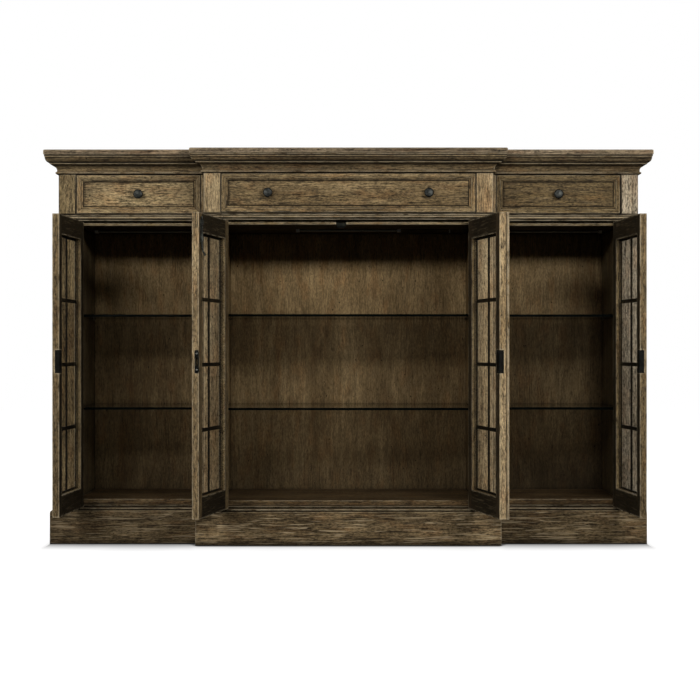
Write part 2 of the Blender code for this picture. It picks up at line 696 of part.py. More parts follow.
def build_partitions():
    """The two double-skinned walls between the bays, with pegs on both faces."""
    low = FLOOR_TOP + SEAT_GAP
    high = DECK_BOTTOM - SEAT_GAP
    front = SIDE_INSIDE_FRONT + SEAT_GAP
    for side, sign in SIDES:
        solid = block((sign * CENTRE_BAY_HALF, front, low), (sign * SIDE_BAY_INNER, INSIDE_BACK, high))
        hollow_in = sign * (CENTRE_BAY_HALF + PARTITION_SKIN)
        hollow_out = sign * (SIDE_BAY_INNER - PARTITION_SKIN)
        hollow = block((hollow_in, front + WALL_EDGE_STRIP, low - OVERRUN),
                       (hollow_out, INSIDE_BACK - WALL_EDGE_STRIP, high + OVERRUN))
        solid = cut(solid, hollow)
        solid = fuse(solid, *pegs(sign * CENTRE_BAY_HALF, -sign, SIDE_INSIDE_FRONT),
                     *pegs(sign * SIDE_BAY_INNER, sign, SIDE_INSIDE_FRONT))
        add_part("partition_" + side, solid, "oak", (sign * CENTRE_BAY_HALF, 0, low))


def build_back_panel():
    """The thin back between the side panels."""
    half = SIDE_BAY_OUTER - SEAT_GAP
    low = (-half, BACK_PANEL_FRONT, SILL + SEAT_GAP)
    high = (half, BACK_PANEL_FRONT + BACK_PANEL_THICKNESS, CORNICE_BOTTOM - SEAT_GAP)
    add_part("back_panel", block(low, high), "oak", origin=(0, BACK_PANEL_FRONT, SILL + SEAT_GAP))


def deck_rail(bay):
    """The waist rail in front of the deck in one bay."""
    low = (bay.low + SEAT_GAP, bay.face + PILASTER_PROUD, WAIST_BOTTOM)
    high = (bay.high - SEAT_GAP, bay.inside_front + FUSE_DEPTH, WAIST_TOP)
    rear_step = (bay.low + SEAT_GAP, bay.inside_front, DECK_TOP - FUSE_DEPTH)
    rear_high = (bay.high - SEAT_GAP, bay.inside_front + RUNNER_WIDTH, WAIST_TOP)
    return [block(low, high), block(rear_step, rear_high)]


def deck_runners(bay):
    """The two strips that a drawer box slides on in one bay."""
    top = DRAWER_BOX_BOTTOM - SEAT_GAP
    front = bay.inside_front + RUNNER_WIDTH - FUSE_DEPTH
    bottom = DECK_TOP - FUSE_DEPTH
    back = INSIDE_BACK - FUSE_DEPTH
    return [
        block((bay.low + SEAT_GAP, front, bottom), (bay.low + RUNNER_WIDTH, back, top)),
        block((bay.high - RUNNER_WIDTH, front, bottom), (bay.high - SEAT_GAP, back, top)),
    ]


def deck_dividers():
    """The upright blocks between the drawers, over the partitions."""
    made = []
    for _, sign in SIDES:
        low = (sign * (CENTRE_BAY_HALF + SEAT_GAP), SIDE_INSIDE_FRONT + SEAT_GAP + FUSE_DEPTH / 2,
               DECK_TOP - FUSE_DEPTH)
        high = (sign * (SIDE_BAY_INNER - SEAT_GAP), INSIDE_BACK - FUSE_DEPTH / 2, CORNICE_BOTTOM - SEAT_GAP)
        made.append(block(low, high))
    return made


def bolt_place():
    """The plan position of the slide bolt's rod with its door shut."""
    door = DOORS[1]
    axis = hinge_axis(door)
    across = axis[0] + door.hand * (DOOR_HINGE_EDGE + door.width - BOLT_FROM_EDGE)
    return (across, axis[1] + BOLT_ROD_AXIS)


def build_deck():
    """The deck over the cupboards: board, waist rails, drawer runners and dividers, bolt notch."""
    solid = prism(board_outline(), DECK_BOTTOM, DECK_TOP, upright)
    groove_low = WAIST_BOTTOM - DECK_SHADOW_HEIGHT
    groove = [(-SHADOW_GROOVE_DEPTH, groove_low), (OVERRUN, groove_low),
              (OVERRUN, WAIST_BOTTOM), (-SHADOW_GROOVE_DEPTH, WAIST_BOTTOM)]
    solid = cut(solid, sweep(groove, long_inside_path()))
    for bay in BAYS:
        solid = fuse(solid, *deck_rail(bay), *deck_runners(bay))
    solid = fuse(solid, *deck_dividers())
    across, depth = bolt_place()
    notch_low = (across - BOLT_NOTCH_WIDTH / 2, CENTRE_INSIDE_FRONT - OVERRUN, DECK_BOTTOM - OVERRUN)
    notch_high = (across + BOLT_NOTCH_WIDTH / 2, CENTRE_INSIDE_FRONT + BOLT_NOTCH_DEPTH, groove_low)
    hole = rod((across, depth), BOLT_ROD_RADIUS + BOLT_HOLE_CLEARANCE, DECK_BOTTOM, WAIST_TOP + OVERRUN,
               BOLT_SIDES)
    solid = cut(solid, block(notch_low, notch_high), hole)
    add_part("drawer_deck", solid, "oak", origin=(0, 0, DECK_BOTTOM))


def build_waist_moulding():
    """The reeded moulding under the drawers, stepped round the pilasters and returned along the sides."""
    steps = MOULDING_CURVE_STEPS
    shares = [(0, 0)]
    shares += arc(WAIST_LOW_BEAD_CENTRE_SHARES, WAIST_LOW_BEAD_RADIUS_SHARES, -90, 90, steps)
    shares += arc(WAIST_OVOLO_CENTRE_SHARES, WAIST_OVOLO_RADIUS_SHARES, -90, 90, steps)
    shares += arc(WAIST_TOP_BEAD_CENTRE_SHARES, WAIST_TOP_BEAD_RADIUS_SHARES, -90, 90, steps)
    shares += [(0, 1)]
    profile = scaled(shares, WAIST_MOULDING_OUT, WAIST_BOTTOM, WAIST_RAIL_HEIGHT)
    add_part("waist_moulding", sweep(profile, broken_path(SEAT_GAP)), "oak",
             origin=(0, CENTRE_FACE, WAIST_BOTTOM), smooth_degrees=MOULDING_SHARP_DEGREES)


def build_cornice():
    """The cornice: bead, cove, fillet and ovolo round three sides, with its back rail."""
    steps = MOULDING_CURVE_STEPS
    curve = arc(CORNICE_BEAD_CENTRE_SHARES, CORNICE_BEAD_RADIUS_SHARES, -90, 90, steps)
    cove = arc(CORNICE_COVE_CENTRE_SHARES, CORNICE_COVE_RADIUS_SHARES, 180, 90, steps)
    ovolo = arc(CORNICE_OVOLO_CENTRE_SHARES, CORNICE_OVOLO_RADIUS_SHARES, -90, 0, steps)
    shares = curve + cove
    shares += [(CORNICE_COVE_CENTRE_SHARES[0], CORNICE_STEP_SHARE),
               (CORNICE_OVOLO_CENTRE_SHARES[0], CORNICE_STEP_SHARE)]
    shares += ovolo
    shares += [(CORNICE_FILLET_SHARE, CORNICE_OVOLO_CENTRE_SHARES[1]), (CORNICE_FILLET_SHARE, 1)]
    profile = scaled(shares, CORNICE_OUT, CORNICE_BOTTOM, CORNICE_HEIGHT)
    profile += [(-OUTER_PILASTER_WIDTH, CORNICE_TOP), (-OUTER_PILASTER_WIDTH, CORNICE_BOTTOM)]
    solid = sweep(profile, face_path())
    half = CARCASS_HALF - OUTER_PILASTER_WIDTH + FUSE_DEPTH
    back = BACK_FACE - BACK_RAIL_INSET
    low = (-half, back - BACK_RAIL_THICKNESS, CORNICE_BOTTOM + BACK_RAIL_INSET)
    high = (half, back, CORNICE_TOP - BACK_RAIL_INSET)
    solid = fuse(solid, block(low, high))
    add_part("cornice", solid, "oak", origin=(0, CENTRE_FACE, CORNICE_BOTTOM),
             smooth_degrees=MOULDING_SHARP_DEGREES)


def build_top_board():
    """The top board, with rounded front and side edges."""
    outline = [(point[0] + step.x * CORNICE_OUT, point[1] + step.y * CORNICE_OUT)
               for point, step in zip(face_path(), mitres(face_path()))]
    solid = prism(outline, CORNICE_TOP + SEAT_GAP, CORNICE_TOP + TOP_BOARD_THICKNESS, upright)
    rims = []
    for edge in solid.edges:
        start, end = edge.verts
        level = abs(start.co.z - end.co.z) < SEAT_GAP
        at_back = start.co.y > BACK_FACE - SEAT_GAP and end.co.y > BACK_FACE - SEAT_GAP
        if level and not at_back:
            rims.append(edge)
    bmesh.ops.bevel(solid, geom=rims, offset=TOP_BOARD_ROUND, offset_type="OFFSET",
                    segments=TOP_BOARD_ROUND_STEPS, profile=ROUND_PROFILE_SHARE, affect="EDGES")
    add_part("top_board", solid, "oak", origin=(0, 0, CORNICE_TOP + SEAT_GAP),
             smooth_degrees=RIM_SHARP_DEGREES)


def build_shelves():
    """Two glass shelves in each bay, resting on the pegs."""
    for bay in BAYS:
        for level, top in SHELVES:
            low = (bay.low + SHELF_SIDE_GAP, bay.inside_front + SHELF_FRONT_INSET, top - SHELF_THICKNESS)
            high = (bay.high - SHELF_SIDE_GAP, BACK_PANEL_FRONT - SHELF_BACK_GAP, top)
            centre = ((bay.low + bay.high) / 2, (low[1] + high[1]) / 2, top)
            add_part("shelf_" + bay.name + "_" + level, block(low, high), "glass", centre)


def build_lights():
    """A light bar with a clip at each end, under the deck in each bay."""
    top = DECK_BOTTOM - SEAT_GAP
    for bay in BAYS:
        middle = (bay.low + bay.high) / 2
        depth = bay.inside_front + LIGHT_SETBACK
        low = (middle - LIGHT_LENGTH / 2, depth - LIGHT_WIDTH / 2, top - LIGHT_DEPTH)
        high = (middle + LIGHT_LENGTH / 2, depth + LIGHT_WIDTH / 2, top - LIGHT_EDGE_ROUND)
        solid = block(low, high)
        bmesh.ops.bevel(solid, geom=[edge for edge in solid.edges if is_lengthwise(edge)],
                        offset=LIGHT_EDGE_ROUND, offset_type="OFFSET", segments=2,
                        profile=ROUND_PROFILE_SHARE, affect="EDGES")
        for sign in (-1, 1):
            end = middle + sign * (LIGHT_LENGTH / 2 + OVERRUN)
            start = end - sign * LIGHT_CLIP_LENGTH
            clip = block((start, depth - LIGHT_CLIP_WIDTH / 2, top - LIGHT_CLIP_DEPTH),
                         (end, depth + LIGHT_CLIP_WIDTH / 2, top))
            solid = fuse(solid, clip)
        add_part("light_" + bay.name, solid, "light_bar", (middle, depth, top))


def is_lengthwise(edge):
    """Whether an edge runs along the front."""
    start, end = edge.verts
    return abs(start.co.x - end.co.x) > SEAT_GAP


def drawer_front_solid(width, height):
    """A framed drawer front about its own centre, with its face towards the front."""
    solid = block((-width / 2, 0, -height / 2), (width / 2, DRAWER_FRONT_THICKNESS, height / 2))
    solid.faces.ensure_lookup_table()
    face = min(solid.faces, key=lambda item: item.calc_center_median().y)
    bmesh.ops.inset_region(solid, faces=[face], thickness=DRAWER_FRAME_WIDTH, depth=0)
    bmesh.ops.inset_region(solid, faces=[face], thickness=DRAWER_BEVEL_WIDTH, depth=-DRAWER_PANEL_DEPTH)
    return solid


def drawer_box_solid(low, high):
    """A drawer box, open at the top."""
    solid = block(low, high)
    face = max(solid.faces, key=lambda item: item.calc_center_median().z)
    bmesh.ops.inset_region(solid, faces=[face], thickness=DRAWER_WALL, depth=0)
    drawn = bmesh.ops.extrude_face_region(solid, geom=[face])
    bmesh.ops.delete(solid, geom=[face], context="FACES_ONLY")
    floor = [item for item in drawn["geom"] if isinstance(item, bmesh.types.BMVert)]
    bmesh.ops.translate(solid, verts=floor, vec=(0, 0, DRAWER_BOTTOM - (high[2] - low[2])))
    return solid


def knob_solid():
    """A turned knob that stands towards the front from its origin."""
    profile = [(radius * KNOB_RADIUS, reach * KNOB_LENGTH) for radius, reach in KNOB_PROFILE_SHARES]
    return turned(profile, KNOB_SIDES, Matrix.Rotation(math.radians(90), 4, "X"))


def build_drawers():
    """Front, box and knobs of each drawer."""
    height = DRAWER_OPENING_HEIGHT - 2 * FRONT_GAP
    middle_height = WAIST_TOP + DRAWER_OPENING_HEIGHT / 2
    for bay in BAYS:
        middle = (bay.low + bay.high) / 2
        width = bay.high - bay.low - 2 * FRONT_GAP
        face = bay.face + PILASTER_PROUD
        front = drawer_front_solid(width, height)
        bmesh.ops.translate(front, verts=front.verts, vec=(middle, face, middle_height))
        add_part("drawer_front_" + bay.name, front, "oak", (middle, face, middle_height))
        box_front = face + DRAWER_FRONT_THICKNESS + SEAT_GAP
        low = (bay.low + DRAWER_SIDE_GAP, box_front, DRAWER_BOX_BOTTOM)
        high = (bay.high - DRAWER_SIDE_GAP, BACK_PANEL_FRONT - DRAWER_BACK_CLEARANCE,
                DRAWER_BOX_BOTTOM + DRAWER_BOX_HEIGHT)
        add_part("drawer_box_" + bay.name, drawer_box_solid(low, high), "oak",
                 (middle, box_front, DRAWER_BOX_BOTTOM))
        if bay.name == "centre":
            places = (("knob_centre_left", -CENTRE_KNOB_SPACING / 2),
                      ("knob_centre_right", CENTRE_KNOB_SPACING / 2))
        else:
            places = (("knob_" + bay.name, middle),)
        for name, across in places:
            seat = (across, face + DRAWER_PANEL_DEPTH - SEAT_GAP, middle_height)
            solid = knob_solid()
            bmesh.ops.translate(solid, verts=solid.verts, vec=seat)
            add_part(name, solid, "dark_metal", seat, smooth_degrees=ROUND_SHARP_DEGREES)


def door_block(door, across, through, low, high):
    """A box in a door's own frame: across from the hinge axis, through the thickness, and upright."""
    return block((door.hand * across[0], through[0], low), (door.hand * across[1], through[1], high))


def glazing_opening(door):
    """The door's opening: across from and to, bottom and top."""
    return (DOOR_HINGE_EDGE + DOOR_STILE_WIDTH, DOOR_HINGE_EDGE + door.width - DOOR_STILE_WIDTH,
            DOOR_BOTTOM + DOOR_BOTTOM_RAIL_WIDTH, DOOR_TOP - DOOR_TOP_RAIL_WIDTH)


def astragal(door):
    """The meeting bead: proud of the outer face, lapping past the free edge, with a quirk behind it."""
    edge = DOOR_HINGE_EDGE + door.width
    seat = edge - ASTRAGAL_SEAT_WIDTH
    lap = edge + ASTRAGAL_LAP
    top = DOOR_OUTER_FACE - ASTRAGAL_PROUD
    shoulder = top + ASTRAGAL_ROUND
    back = DOOR_OUTER_FACE - ASTRAGAL_CLEARANCE
    lip = back - ASTRAGAL_QUIRK_WIDTH
    quirk = lap - ASTRAGAL_QUIRK_DEPTH
    outline = [
        (seat, DOOR_OUTER_FACE + FUSE_DEPTH), (seat, shoulder), (seat + ASTRAGAL_ROUND, top),
        (lap - ASTRAGAL_ROUND, top), (lap, shoulder), (lap, lip), (quirk, lip), (quirk, back),
        (edge - FRONT_GAP / 2, back), (edge - FRONT_GAP / 2, DOOR_OUTER_FACE + FUSE_DEPTH),
    ]
    outline = [(door.hand * across, through) for across, through in outline]
    return prism(outline, DOOR_BOTTOM, DOOR_TOP, upright)


def lock_pocket(door):
    """Room for a lock at the free edge of the inner face."""
    edge = DOOR_HINGE_EDGE + door.width
    half = LOCK_LENGTH / 2 + SEAT_GAP
    return door_block(door, (edge - LOCK_DEPTH - SEAT_GAP, edge + OVERRUN),
                      (DOOR_INNER_FACE - LOCK_THICKNESS - SEAT_GAP, DOOR_INNER_FACE + OVERRUN),
                      LOCK_CENTRE_HEIGHT - half, LOCK_CENTRE_HEIGHT + half)


def strike_pockets(door):
    """Room for the strike plate in the free edge, and the mortise behind its slot."""
    edge = DOOR_HINGE_EDGE + door.width
    half = LOCK_LENGTH / 2 + SEAT_GAP
    plate_in = edge - STRIKE_THICKNESS - SEAT_GAP
    middle = DOOR_INNER_FACE - LOCK_THICKNESS / 2
    slot_half = LOCK_BOLT_LENGTH / 2 + STRIKE_CLEARANCE
    slot_thick = LOCK_BOLT_THICKNESS / 2 + STRIKE_CLEARANCE
    seat = door_block(door, (plate_in, edge + OVERRUN),
                      (DOOR_INNER_FACE - LOCK_THICKNESS - SEAT_GAP, DOOR_INNER_FACE + OVERRUN),
                      LOCK_CENTRE_HEIGHT - half, LOCK_CENTRE_HEIGHT + half)
    mortise = door_block(door, (plate_in - STRIKE_MORTISE_DEPTH, plate_in + FUSE_DEPTH),
                         (middle - slot_thick, middle + slot_thick),
                         LOCK_CENTRE_HEIGHT - slot_half, LOCK_CENTRE_HEIGHT + slot_half)
    return [seat, mortise]


def door_frame_solid(door):
    """Stiles and rails round the glazing opening, with the lip that holds the grid in."""
    left, right, low, high = glazing_opening(door)
    solid = door_block(door, (DOOR_HINGE_EDGE, DOOR_HINGE_EDGE + door.width),
                       (DOOR_OUTER_FACE, DOOR_INNER_FACE), DOOR_BOTTOM, DOOR_TOP)
    lip_back = DOOR_OUTER_FACE + GLAZING_LIP_DEPTH
    rebate = door_block(door, (left, right), (lip_back, DOOR_INNER_FACE + OVERRUN), low, high)
    sight = door_block(door, (left + GLAZING_LIP_WIDTH, right - GLAZING_LIP_WIDTH),
                       (DOOR_OUTER_FACE - OVERRUN, lip_back + FUSE_DEPTH),
                       low + GLAZING_LIP_WIDTH, high - GLAZING_LIP_WIDTH)
    solid = cut(solid, rebate, sight)
    if door.name == "centre_right":
        solid = fuse(solid, astragal(door))
    if door.locked:
        solid = cut(solid, lock_pocket(door))
    if door.name == "centre_left":
        solid = cut(solid, *strike_pockets(door))
    return solid


def grid_solid(door):
    """The black glazing bars: a rim and crossing bars round two columns of four panes."""
    left, right, low, high = glazing_opening(door)
    left, right, low, high = left + SEAT_GAP, right - SEAT_GAP, low + SEAT_GAP, high - SEAT_GAP
    solid = door_block(door, (left, right), (GRID_FRONT, GRID_FRONT + GRID_DEPTH), low, high)
    clear_width = right - left - 2 * GRID_RING_WIDTH - (GRID_COLUMNS - 1) * GRID_BAR_WIDTH
    clear_height = high - low - 2 * GRID_RING_WIDTH - (GRID_ROWS - 1) * GRID_BAR_WIDTH
    pane_width = clear_width / GRID_COLUMNS
    pane_height = clear_height / GRID_ROWS
    for column in range(GRID_COLUMNS):
        for row in range(GRID_ROWS):
            across = left + GRID_RING_WIDTH + column * (pane_width + GRID_BAR_WIDTH)
            up = low + GRID_RING_WIDTH + row * (pane_height + GRID_BAR_WIDTH)
            pane = door_block(door, (across, across + pane_width),
                              (GRID_FRONT - OVERRUN, GRID_FRONT + GRID_DEPTH + OVERRUN), up, up + pane_height)
            solid = cut(solid, pane)
    return solid


def hinge_leaf_solid(door, level):
    """A door's hinge leaf: a plate beside the stile with the middle knuckle round the pin."""
    half = KNUCKLE_LENGTH / 2
    tall = half + KNUCKLE_GAP + KNUCKLE_LENGTH
    start = KNUCKLE_RADIUS + KNUCKLE_RELIEF
    end = DOOR_OUTER_FACE + LEAF_DEPTH
    neck = (PIN_BORE_RADIUS + KNUCKLE_RADIUS) / 2
    outline = [(start, -tall), (end, -tall), (end, tall), (start, tall),
               (start, half), (neck, half), (neck, -half), (start, -half)]
    outline = [(through, level + up) for through, up in outline]
    inner = DOOR_HINGE_EDGE - SEAT_GAP
    solid = prism(outline, door.hand * (inner - LEAF_THICKNESS), door.hand * inner, crosswise)
    knuckle = rod((0, 0), KNUCKLE_RADIUS, level - half, level + half, HINGE_SIDES)
    bore = rod((0, 0), PIN_BORE_RADIUS, level - half - OVERRUN, level + half + OVERRUN, HINGE_SIDES)
    return cut(fuse(solid, knuckle), bore)


def lock_solid(door):
    """A cut cupboard lock, flush with the free edge, with its bolt drawn back."""
    edge = DOOR_HINGE_EDGE + door.width
    middle = DOOR_INNER_FACE - LOCK_THICKNESS / 2
    solid = door_block(door, (edge - LOCK_DEPTH, edge),
                       (DOOR_INNER_FACE - LOCK_THICKNESS, DOOR_INNER_FACE + LOCK_PROUD),
                       LOCK_CENTRE_HEIGHT - LOCK_LENGTH / 2, LOCK_CENTRE_HEIGHT + LOCK_LENGTH / 2)
    recess = door_block(door, (edge - LOCK_BOLT_RECESS, edge + OVERRUN),
                        (middle - LOCK_BOLT_THICKNESS / 2, middle + LOCK_BOLT_THICKNESS / 2),
                        LOCK_CENTRE_HEIGHT - LOCK_BOLT_LENGTH / 2, LOCK_CENTRE_HEIGHT + LOCK_BOLT_LENGTH / 2)
    return cut(solid, recess)


def strike_solid(door):
    """The strike plate: round ended, with a slot for the bolt."""
    edge = DOOR_HINGE_EDGE + door.width
    radius = LOCK_THICKNESS / 2
    middle = DOOR_INNER_FACE - radius
    reach = LOCK_LENGTH / 2 - radius
    steps = STRIKE_END_STEPS
    outline = arc((middle, LOCK_CENTRE_HEIGHT + reach), (radius, radius), 0, 180, steps)
    outline += arc((middle, LOCK_CENTRE_HEIGHT - reach), (radius, radius), 180, 360, steps)
    solid = prism(outline, door.hand * (edge - STRIKE_THICKNESS), door.hand * edge, crosswise)
    slot_half = LOCK_BOLT_LENGTH / 2 + STRIKE_CLEARANCE
    slot_thick = LOCK_BOLT_THICKNESS / 2 + STRIKE_CLEARANCE
    slot = door_block(door, (edge - STRIKE_THICKNESS - OVERRUN, edge + OVERRUN),
                      (middle - slot_thick, middle + slot_thick),
                      LOCK_CENTRE_HEIGHT - slot_half, LOCK_CENTRE_HEIGHT + slot_half)
    return cut(solid, slot)


def bolt_plate_solid(door):
    """The slide bolt's plate with two loops round the rod."""
    across = DOOR_HINGE_EDGE + door.width - BOLT_FROM_EDGE
    half = BOLT_PLATE_WIDTH / 2
    back = DOOR_INNER_FACE + SEAT_GAP
    front = back + BOLT_PLATE_THICKNESS
    top = DOOR_TOP - BOLT_PLATE_DROP
    low = top - BOLT_PLATE_LENGTH
    solid = door_block(door, (across - half, across + half), (back, front), low, top)
    channel = BOLT_ROD_RADIUS + BOLT_LOOP_CLEARANCE
    wall = channel + BOLT_LOOP_WALL
    for start in (low + BOLT_LOOP_END_INSET, top - BOLT_LOOP_END_INSET - BOLT_LOOP_HEIGHT):
        end = start + BOLT_LOOP_HEIGHT
        loop = door_block(door, (across - wall, across + wall), (front - BOLT_PLATE_THICKNESS / 2,
                                                                 BOLT_ROD_AXIS + wall), start, end)
        solid = fuse(solid, loop)
    place = (door.hand * across, BOLT_ROD_AXIS)
    return cut(solid, rod(place, channel / math.cos(math.pi / BOLT_SIDES), low - OVERRUN, top + OVERRUN,
                          BOLT_SIDES))


def bolt_rod_solid(door):
    """The slide bolt's rod: straight up to its nose, curved out at the foot to a ball."""
    across = door.hand * (DOOR_HINGE_EDGE + door.width - BOLT_FROM_EDGE)
    top = DOOR_TOP - BOLT_ROD_TOP_DROP
    low = top - BOLT_ROD_LENGTH
    points = [(across, BOLT_ROD_AXIS, top)]
    points += [(across, BOLT_ROD_AXIS + reach * BOLT_HANDLE_REACH, low - drop * BOLT_HANDLE_DROP)
               for reach, drop in BOLT_HANDLE_SHARES]
    ball = bmesh.new()
    bmesh.ops.create_uvsphere(ball, u_segments=BOLT_SIDES, v_segments=BOLT_SIDES // 2,
                              radius=BOLT_HANDLE_BALL_RADIUS)
    bmesh.ops.translate(ball, verts=ball.verts, vec=points[-1])
    return fuse(tube(points, BOLT_ROD_RADIUS, BOLT_SIDES), ball)


def tube(points, radius, sides):
    """A round bar through points that lie in one plane across X, square to its path."""
    solid = bmesh.new()
    points = [Vector(point) for point in points]
    rings = []
    for index, point in enumerate(points):
        before = points[max(index - 1, 0)]
        after = points[min(index + 1, len(points) - 1)]
        direction = (after - before).normalized()
        sideways = Vector((radius, 0, 0))
        third = direction.cross(sideways)
        ring = []
        for step in range(sides):
            angle = 2 * math.pi * step / sides
            ring.append(solid.verts.new(point + math.cos(angle) * sideways + math.sin(angle) * third))
        rings.append(ring)
    solid.faces.new(rings[0])
    solid.faces.new(rings[-1])
    for first, second in zip(rings, rings[1:]):
        for index in range(sides):
            after = (index + 1) % sides
            solid.faces.new((first[index], first[after], second[after], second[index]))
    bmesh.ops.recalc_face_normals(solid, faces=solid.faces)
    return solid


def build_door(door):
    """One door: frame, grid, glass, hinge leaves and hardware on a parent at its hinge axis."""
    axis = hinge_axis(door)
    pivot = bpy.data.objects.new("pivot_door_" + door.name, None)
    bpy.context.collection.objects.link(pivot)
    pivot.location = (axis[0], axis[1], 0)
    pivot.rotation_euler = (0, 0, -door.hand * math.radians(door.opening_degrees))
    add_part("door_frame_" + door.name, door_frame_solid(door), "oak", parent=pivot)
    add_part("door_grid_" + door.name, grid_solid(door), "black", parent=pivot)
    left, right, low, high = glazing_opening(door)
    pane = door_block(door, (left + SEAT_GAP, right - SEAT_GAP), (GLASS_FRONT, GLASS_FRONT + GLASS_THICKNESS),
                      low + SEAT_GAP, high - SEAT_GAP)
    add_part("door_glass_" + door.name, pane, "glass", parent=pivot)
    for place, level in zip(("lower", "upper"), HINGE_LEVELS):
        add_part("hinge_" + door.name + "_" + place, hinge_leaf_solid(door, level), "steel", parent=pivot,
                 smooth_degrees=ROUND_SHARP_DEGREES)
    if door.locked:
        add_part("lock_" + door.name, lock_solid(door), "dark_metal", parent=pivot)
    if door.name == "centre_left":
        add_part("strike_plate", strike_solid(door), "dark_metal", parent=pivot)
        add_part("slide_bolt_plate", bolt_plate_solid(door), "dark_metal", parent=pivot)
        add_part("slide_bolt_rod", bolt_rod_solid(door), "dark_metal", parent=pivot,
                 smooth_degrees=ROUND_SHARP_DEGREES)


def build_cabinet():
    """Builds every sub-part in its place."""
    clear_scene()
    build_plinth()
    build_bottom_board()
    build_stiles()
    build_side_panels()
    build_partitions()
    build_back_panel()
    build_deck()
    build_waist_moulding()
    build_cornice()
    build_top_board()
    build_shelves()
    build_lights()
    build_drawers()
    for door in DOORS:
        build_door(door)


build_cabinet()
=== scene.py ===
"""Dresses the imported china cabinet: oak, iron and glass, fine hardware, studio light and camera."""
import math
from collections import namedtuple
from functools import partialmethod

import bmesh
import bpy
from mathutils import Matrix, Vector, noise


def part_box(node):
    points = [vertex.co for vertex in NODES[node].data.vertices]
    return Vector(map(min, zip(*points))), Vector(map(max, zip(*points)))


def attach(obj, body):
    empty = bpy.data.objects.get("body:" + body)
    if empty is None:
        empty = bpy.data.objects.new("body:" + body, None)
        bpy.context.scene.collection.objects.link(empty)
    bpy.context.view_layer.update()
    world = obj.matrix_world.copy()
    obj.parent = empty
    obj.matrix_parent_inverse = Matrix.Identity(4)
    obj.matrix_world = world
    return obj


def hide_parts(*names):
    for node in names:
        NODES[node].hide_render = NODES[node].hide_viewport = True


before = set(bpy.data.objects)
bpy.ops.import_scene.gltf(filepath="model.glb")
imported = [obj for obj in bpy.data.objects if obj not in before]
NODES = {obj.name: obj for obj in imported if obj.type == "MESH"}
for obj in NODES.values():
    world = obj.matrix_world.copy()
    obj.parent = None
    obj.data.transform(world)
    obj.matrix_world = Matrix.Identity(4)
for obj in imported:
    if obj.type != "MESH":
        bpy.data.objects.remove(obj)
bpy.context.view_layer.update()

# Where the camera stood: on the middle line, level, with a long lens.
CAMERA_PLACE = (0.0, -6.8675, 0.66)
CAMERA_LENS = 100.0
CAMERA_SHIFT = (0.0023, -0.0014)

# Half the carcass's width, the underside of its deck and the lower edge of the cornice's crown, in metres.
CARCASS_HALF = 0.9847
DECK_BOTTOM = 1.080
CROWN_BOTTOM = 1.3

# Where, from the middle outwards, the front steps back from centre bay to wing, and by how much.
STEP_START = 0.5
STEP_END = 0.54
STEP_DEPTH = 0.065
WING_START = 0.535

# Heights between which painted shadows fade out: below the upper shelves, and below the waist.
SHELF_SHADE = (0.74, 0.78)
SKIRT_SHADE = (1.085, 1.105)

# The side panels' framed fields: half their depth, their low and high edges, and the margin around them.
FIELD_HALF = 0.1875
FIELD_HEIGHTS = ((0.1868, 1.0295), (1.141, 1.2317))
FIELD_MARGIN = 0.008

# The drawer fronts: left and right edge, heights, and the widths of the mitred frame and of its bevel.
DRAWER_FRONTS = {"left": (-0.9248, -0.5030), "centre": (-0.4286, 0.4286), "right": (0.5030, 0.9248)}
DRAWER_LOW = 1.121
DRAWER_HIGH = 1.252
DRAWER_FRAME = 0.0155
DRAWER_BEVEL = 0.0075

# The doors: hinge axis, hand (1 opens from a left hinge), opening angle, width, and whether it locks.
Door = namedtuple("Door", "x y hand degrees width locks")
DOORS = {
    "left": Door(-0.9258, -0.2590, 1, 92.8, 0.4218, True),
    "centre_left": Door(-0.4296, -0.3240, 1, 99.0, 0.4276, False),
    "centre_right": Door(0.4296, -0.3240, -1, 99.7, 0.4276, True),
    "right": Door(0.9258, -0.2590, -1, 93.8, 0.4218, True),
}
HINGE_EDGE = 0.001
OUTER_FACE = 0.0045
INNER_FACE = 0.0265
STILE_WIDTH = 0.045
OPENING_LOW = 0.1905
OPENING_HIGH = 1.0285
LOCK_HEIGHT = 0.62
LOCK_LENGTH = 0.073
LOCK_DEPTH = 0.037
LOCK_THICKNESS = 0.0137
KEY_BACKSET = 0.0225
BOLT_FROM_EDGE = 0.0235
BOLT_HEIGHT = 1.0335


def srgb(red, green, blue):
    """A linear colour from screen values of 0 to 255."""
    values = [v / 255 for v in (red, green, blue)]
    return tuple(v / 12.92 if v <= 0.04045 else ((v + 0.055) / 1.055) ** 2.4 for v in values) + (1.0,)


def dimmed(colour, share):
    """A share of a colour."""
    return tuple(share * v for v in colour[:3]) + (1,)


# What pores, soil and painted shade, glaze and painted shade, joints, glints, wear and painted highlight, and
# painted crest highlights turn oak into, and what pits, edges and painted shade on a far rim turn iron into.
PORE = srgb(26, 20, 12)
SOIL_AND_SHADE = srgb(20, 15, 8)
GLAZE_AND_SHADE = srgb(22, 17, 9)
JOINT = srgb(26, 19, 11)
GLINT = srgb(206, 184, 146)
WEAR_AND_HIGHLIGHT = srgb(206, 190, 158)
CREST_HIGHLIGHT = srgb(212, 194, 158)
IRON_PIT = srgb(20, 20, 19)
IRON_EDGE = srgb(150, 150, 144)
RIM_SHADE = srgb(12, 12, 11)


